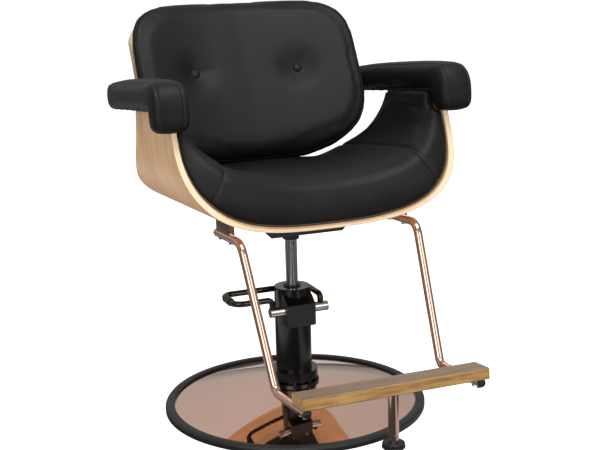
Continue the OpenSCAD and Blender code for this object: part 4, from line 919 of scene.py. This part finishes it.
# %% Seams of the bucket
def shared_line(first, second, near=0.0009):
    """The sitter's side of the wall between two solids, from its front to its rear."""
    there = points_of(nodes[second])
    wall = [spot for spot in points_of(nodes[first])
            if np.min(np.linalg.norm(there - spot, axis=1)) < near]
    rows = {}
    for spot in in_frame(SEAT_FRAME, np.array(wall)):
        rows.setdefault(round(float(spot[1]), 3), []).append(spot)
    line = [max(rows[y], key=lambda spot: spot[2]) for y in sorted(rows)]
    lowest = min(rows[min(rows)], key=lambda spot: spot[2])
    return placed(SEAT_FRAME, [Vector(lowest)] + [Vector(spot) for spot in line])


for side in ("left", "right"):
    line = shared_line("seat_cushion", "side_cushion_" + side)
    spots = laid_on(seat_pad, line, 0.006)
    sink(seat_pad, spots, 0.0022, 0.004)
    spots = laid_on(seat_pad, [spot[0] for spot in spots], 0.005)
    thread("seat_seam_" + side, [spot - 0.0002 * up for spot, up in spots], 0.0006, thread_finish)
    print("seat seam", side, "points", len(spots))

# %% [markdown]
# The back cushion has a welt, a thin covered cord, sewn all round where its front panel
# meets its side. Two buttons pull the leather in, and short folds run out from each.

# %% Welt, buttons and folds of the back
HALF_WIDTH, UP, DOWN, WRAP, FULL = 0.260, 0.193, 0.188, 0.056, 0.263
TOP_POWER, SIDE_POWER, LOW_POWER, WELT_INSET = 4.6, 2.4, 3.8, 0.985
FACE_Y, RIM_Y, RIM_TURN = 0.008, 0.03, 14


def back_edge(v, side):
    """A point of the back's outline at height share v, on the right or the left."""
    power, root = (TOP_POWER, SIDE_POWER) if v > 0 else (LOW_POWER, LOW_POWER)
    x = HALF_WIDTH * (1 - min(abs(v), 0.999) ** power) ** (1 / root) * WELT_INSET
    y = -WRAP * (x / FULL) ** 2 + FACE_Y + RIM_Y * abs(v) ** RIM_TURN
    return (side * x, y, v * (UP if v > 0 else DOWN) * WELT_INSET)


turns = np.linspace(-math.pi / 2, math.pi / 2, 60)
half = [(math.copysign(abs(math.sin(a)) ** 0.75, math.sin(a))) for a in turns]
outline = [back_edge(v, 1) for v in half] + [back_edge(v, -1) for v in reversed(half)]
spots = laid_on(back_pad, placed(BACK_FRAME, outline + outline[:1]), 0.007)
sink(back_pad, spots, 0.0012, 0.004)
spots = laid_on(back_pad, [spot[0] for spot in spots], 0.007)
thread("back_welt", [spot + 0.0004 * up for spot, up in spots[:-1]], 0.0017, black_leather, closed=True)
FOLDS = [(-BUTTON_X, 20, 0.045), (-BUTTON_X, 200, 0.025), (BUTTON_X, 160, 0.045), (BUTTON_X, 250, 0.03)]
for x, turn, length in FOLDS:
    angle = math.radians(turn)
    ray = [(x + r * math.cos(angle), -WRAP * (x / FULL) ** 2, BUTTON_Z + r * math.sin(angle) - 3 * r * r)
           for r in np.linspace(0.01, length, 6)]
    sink(back_pad, laid_on(back_pad, placed(BACK_FRAME, ray), 0.004), 0.0007, 0.007)
print("folds", len(FOLDS))

# %% [markdown]
# The piping of the bucket and the two buttons are small and crisp, so they are smoothed
# copies of their solids and keep their exact place.

# %% Piping and buttons
def crisp(node, name, finish):
    piece = copy_of(node, name)
    finer = piece.modifiers.new("finer", "SUBSURF")
    finer.levels = finer.render_levels = 1
    bpy.ops.object.modifier_apply(modifier=finer.name)
    bpy.ops.object.shade_smooth()
    dress(piece, finish)
    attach(piece, "seat")
    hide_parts(node)
    return piece


piping_leather = leather("grey_brown_piping", "4c443b", "5d5349", 0.5)
piping = crisp("seat_piping", "seat_piping_leather", piping_leather)
buttons = crisp("back_buttons", "back_buttons_leather", black_leather)
print("piping points", len(piping.data.vertices), "button points", len(buttons.data.vertices))
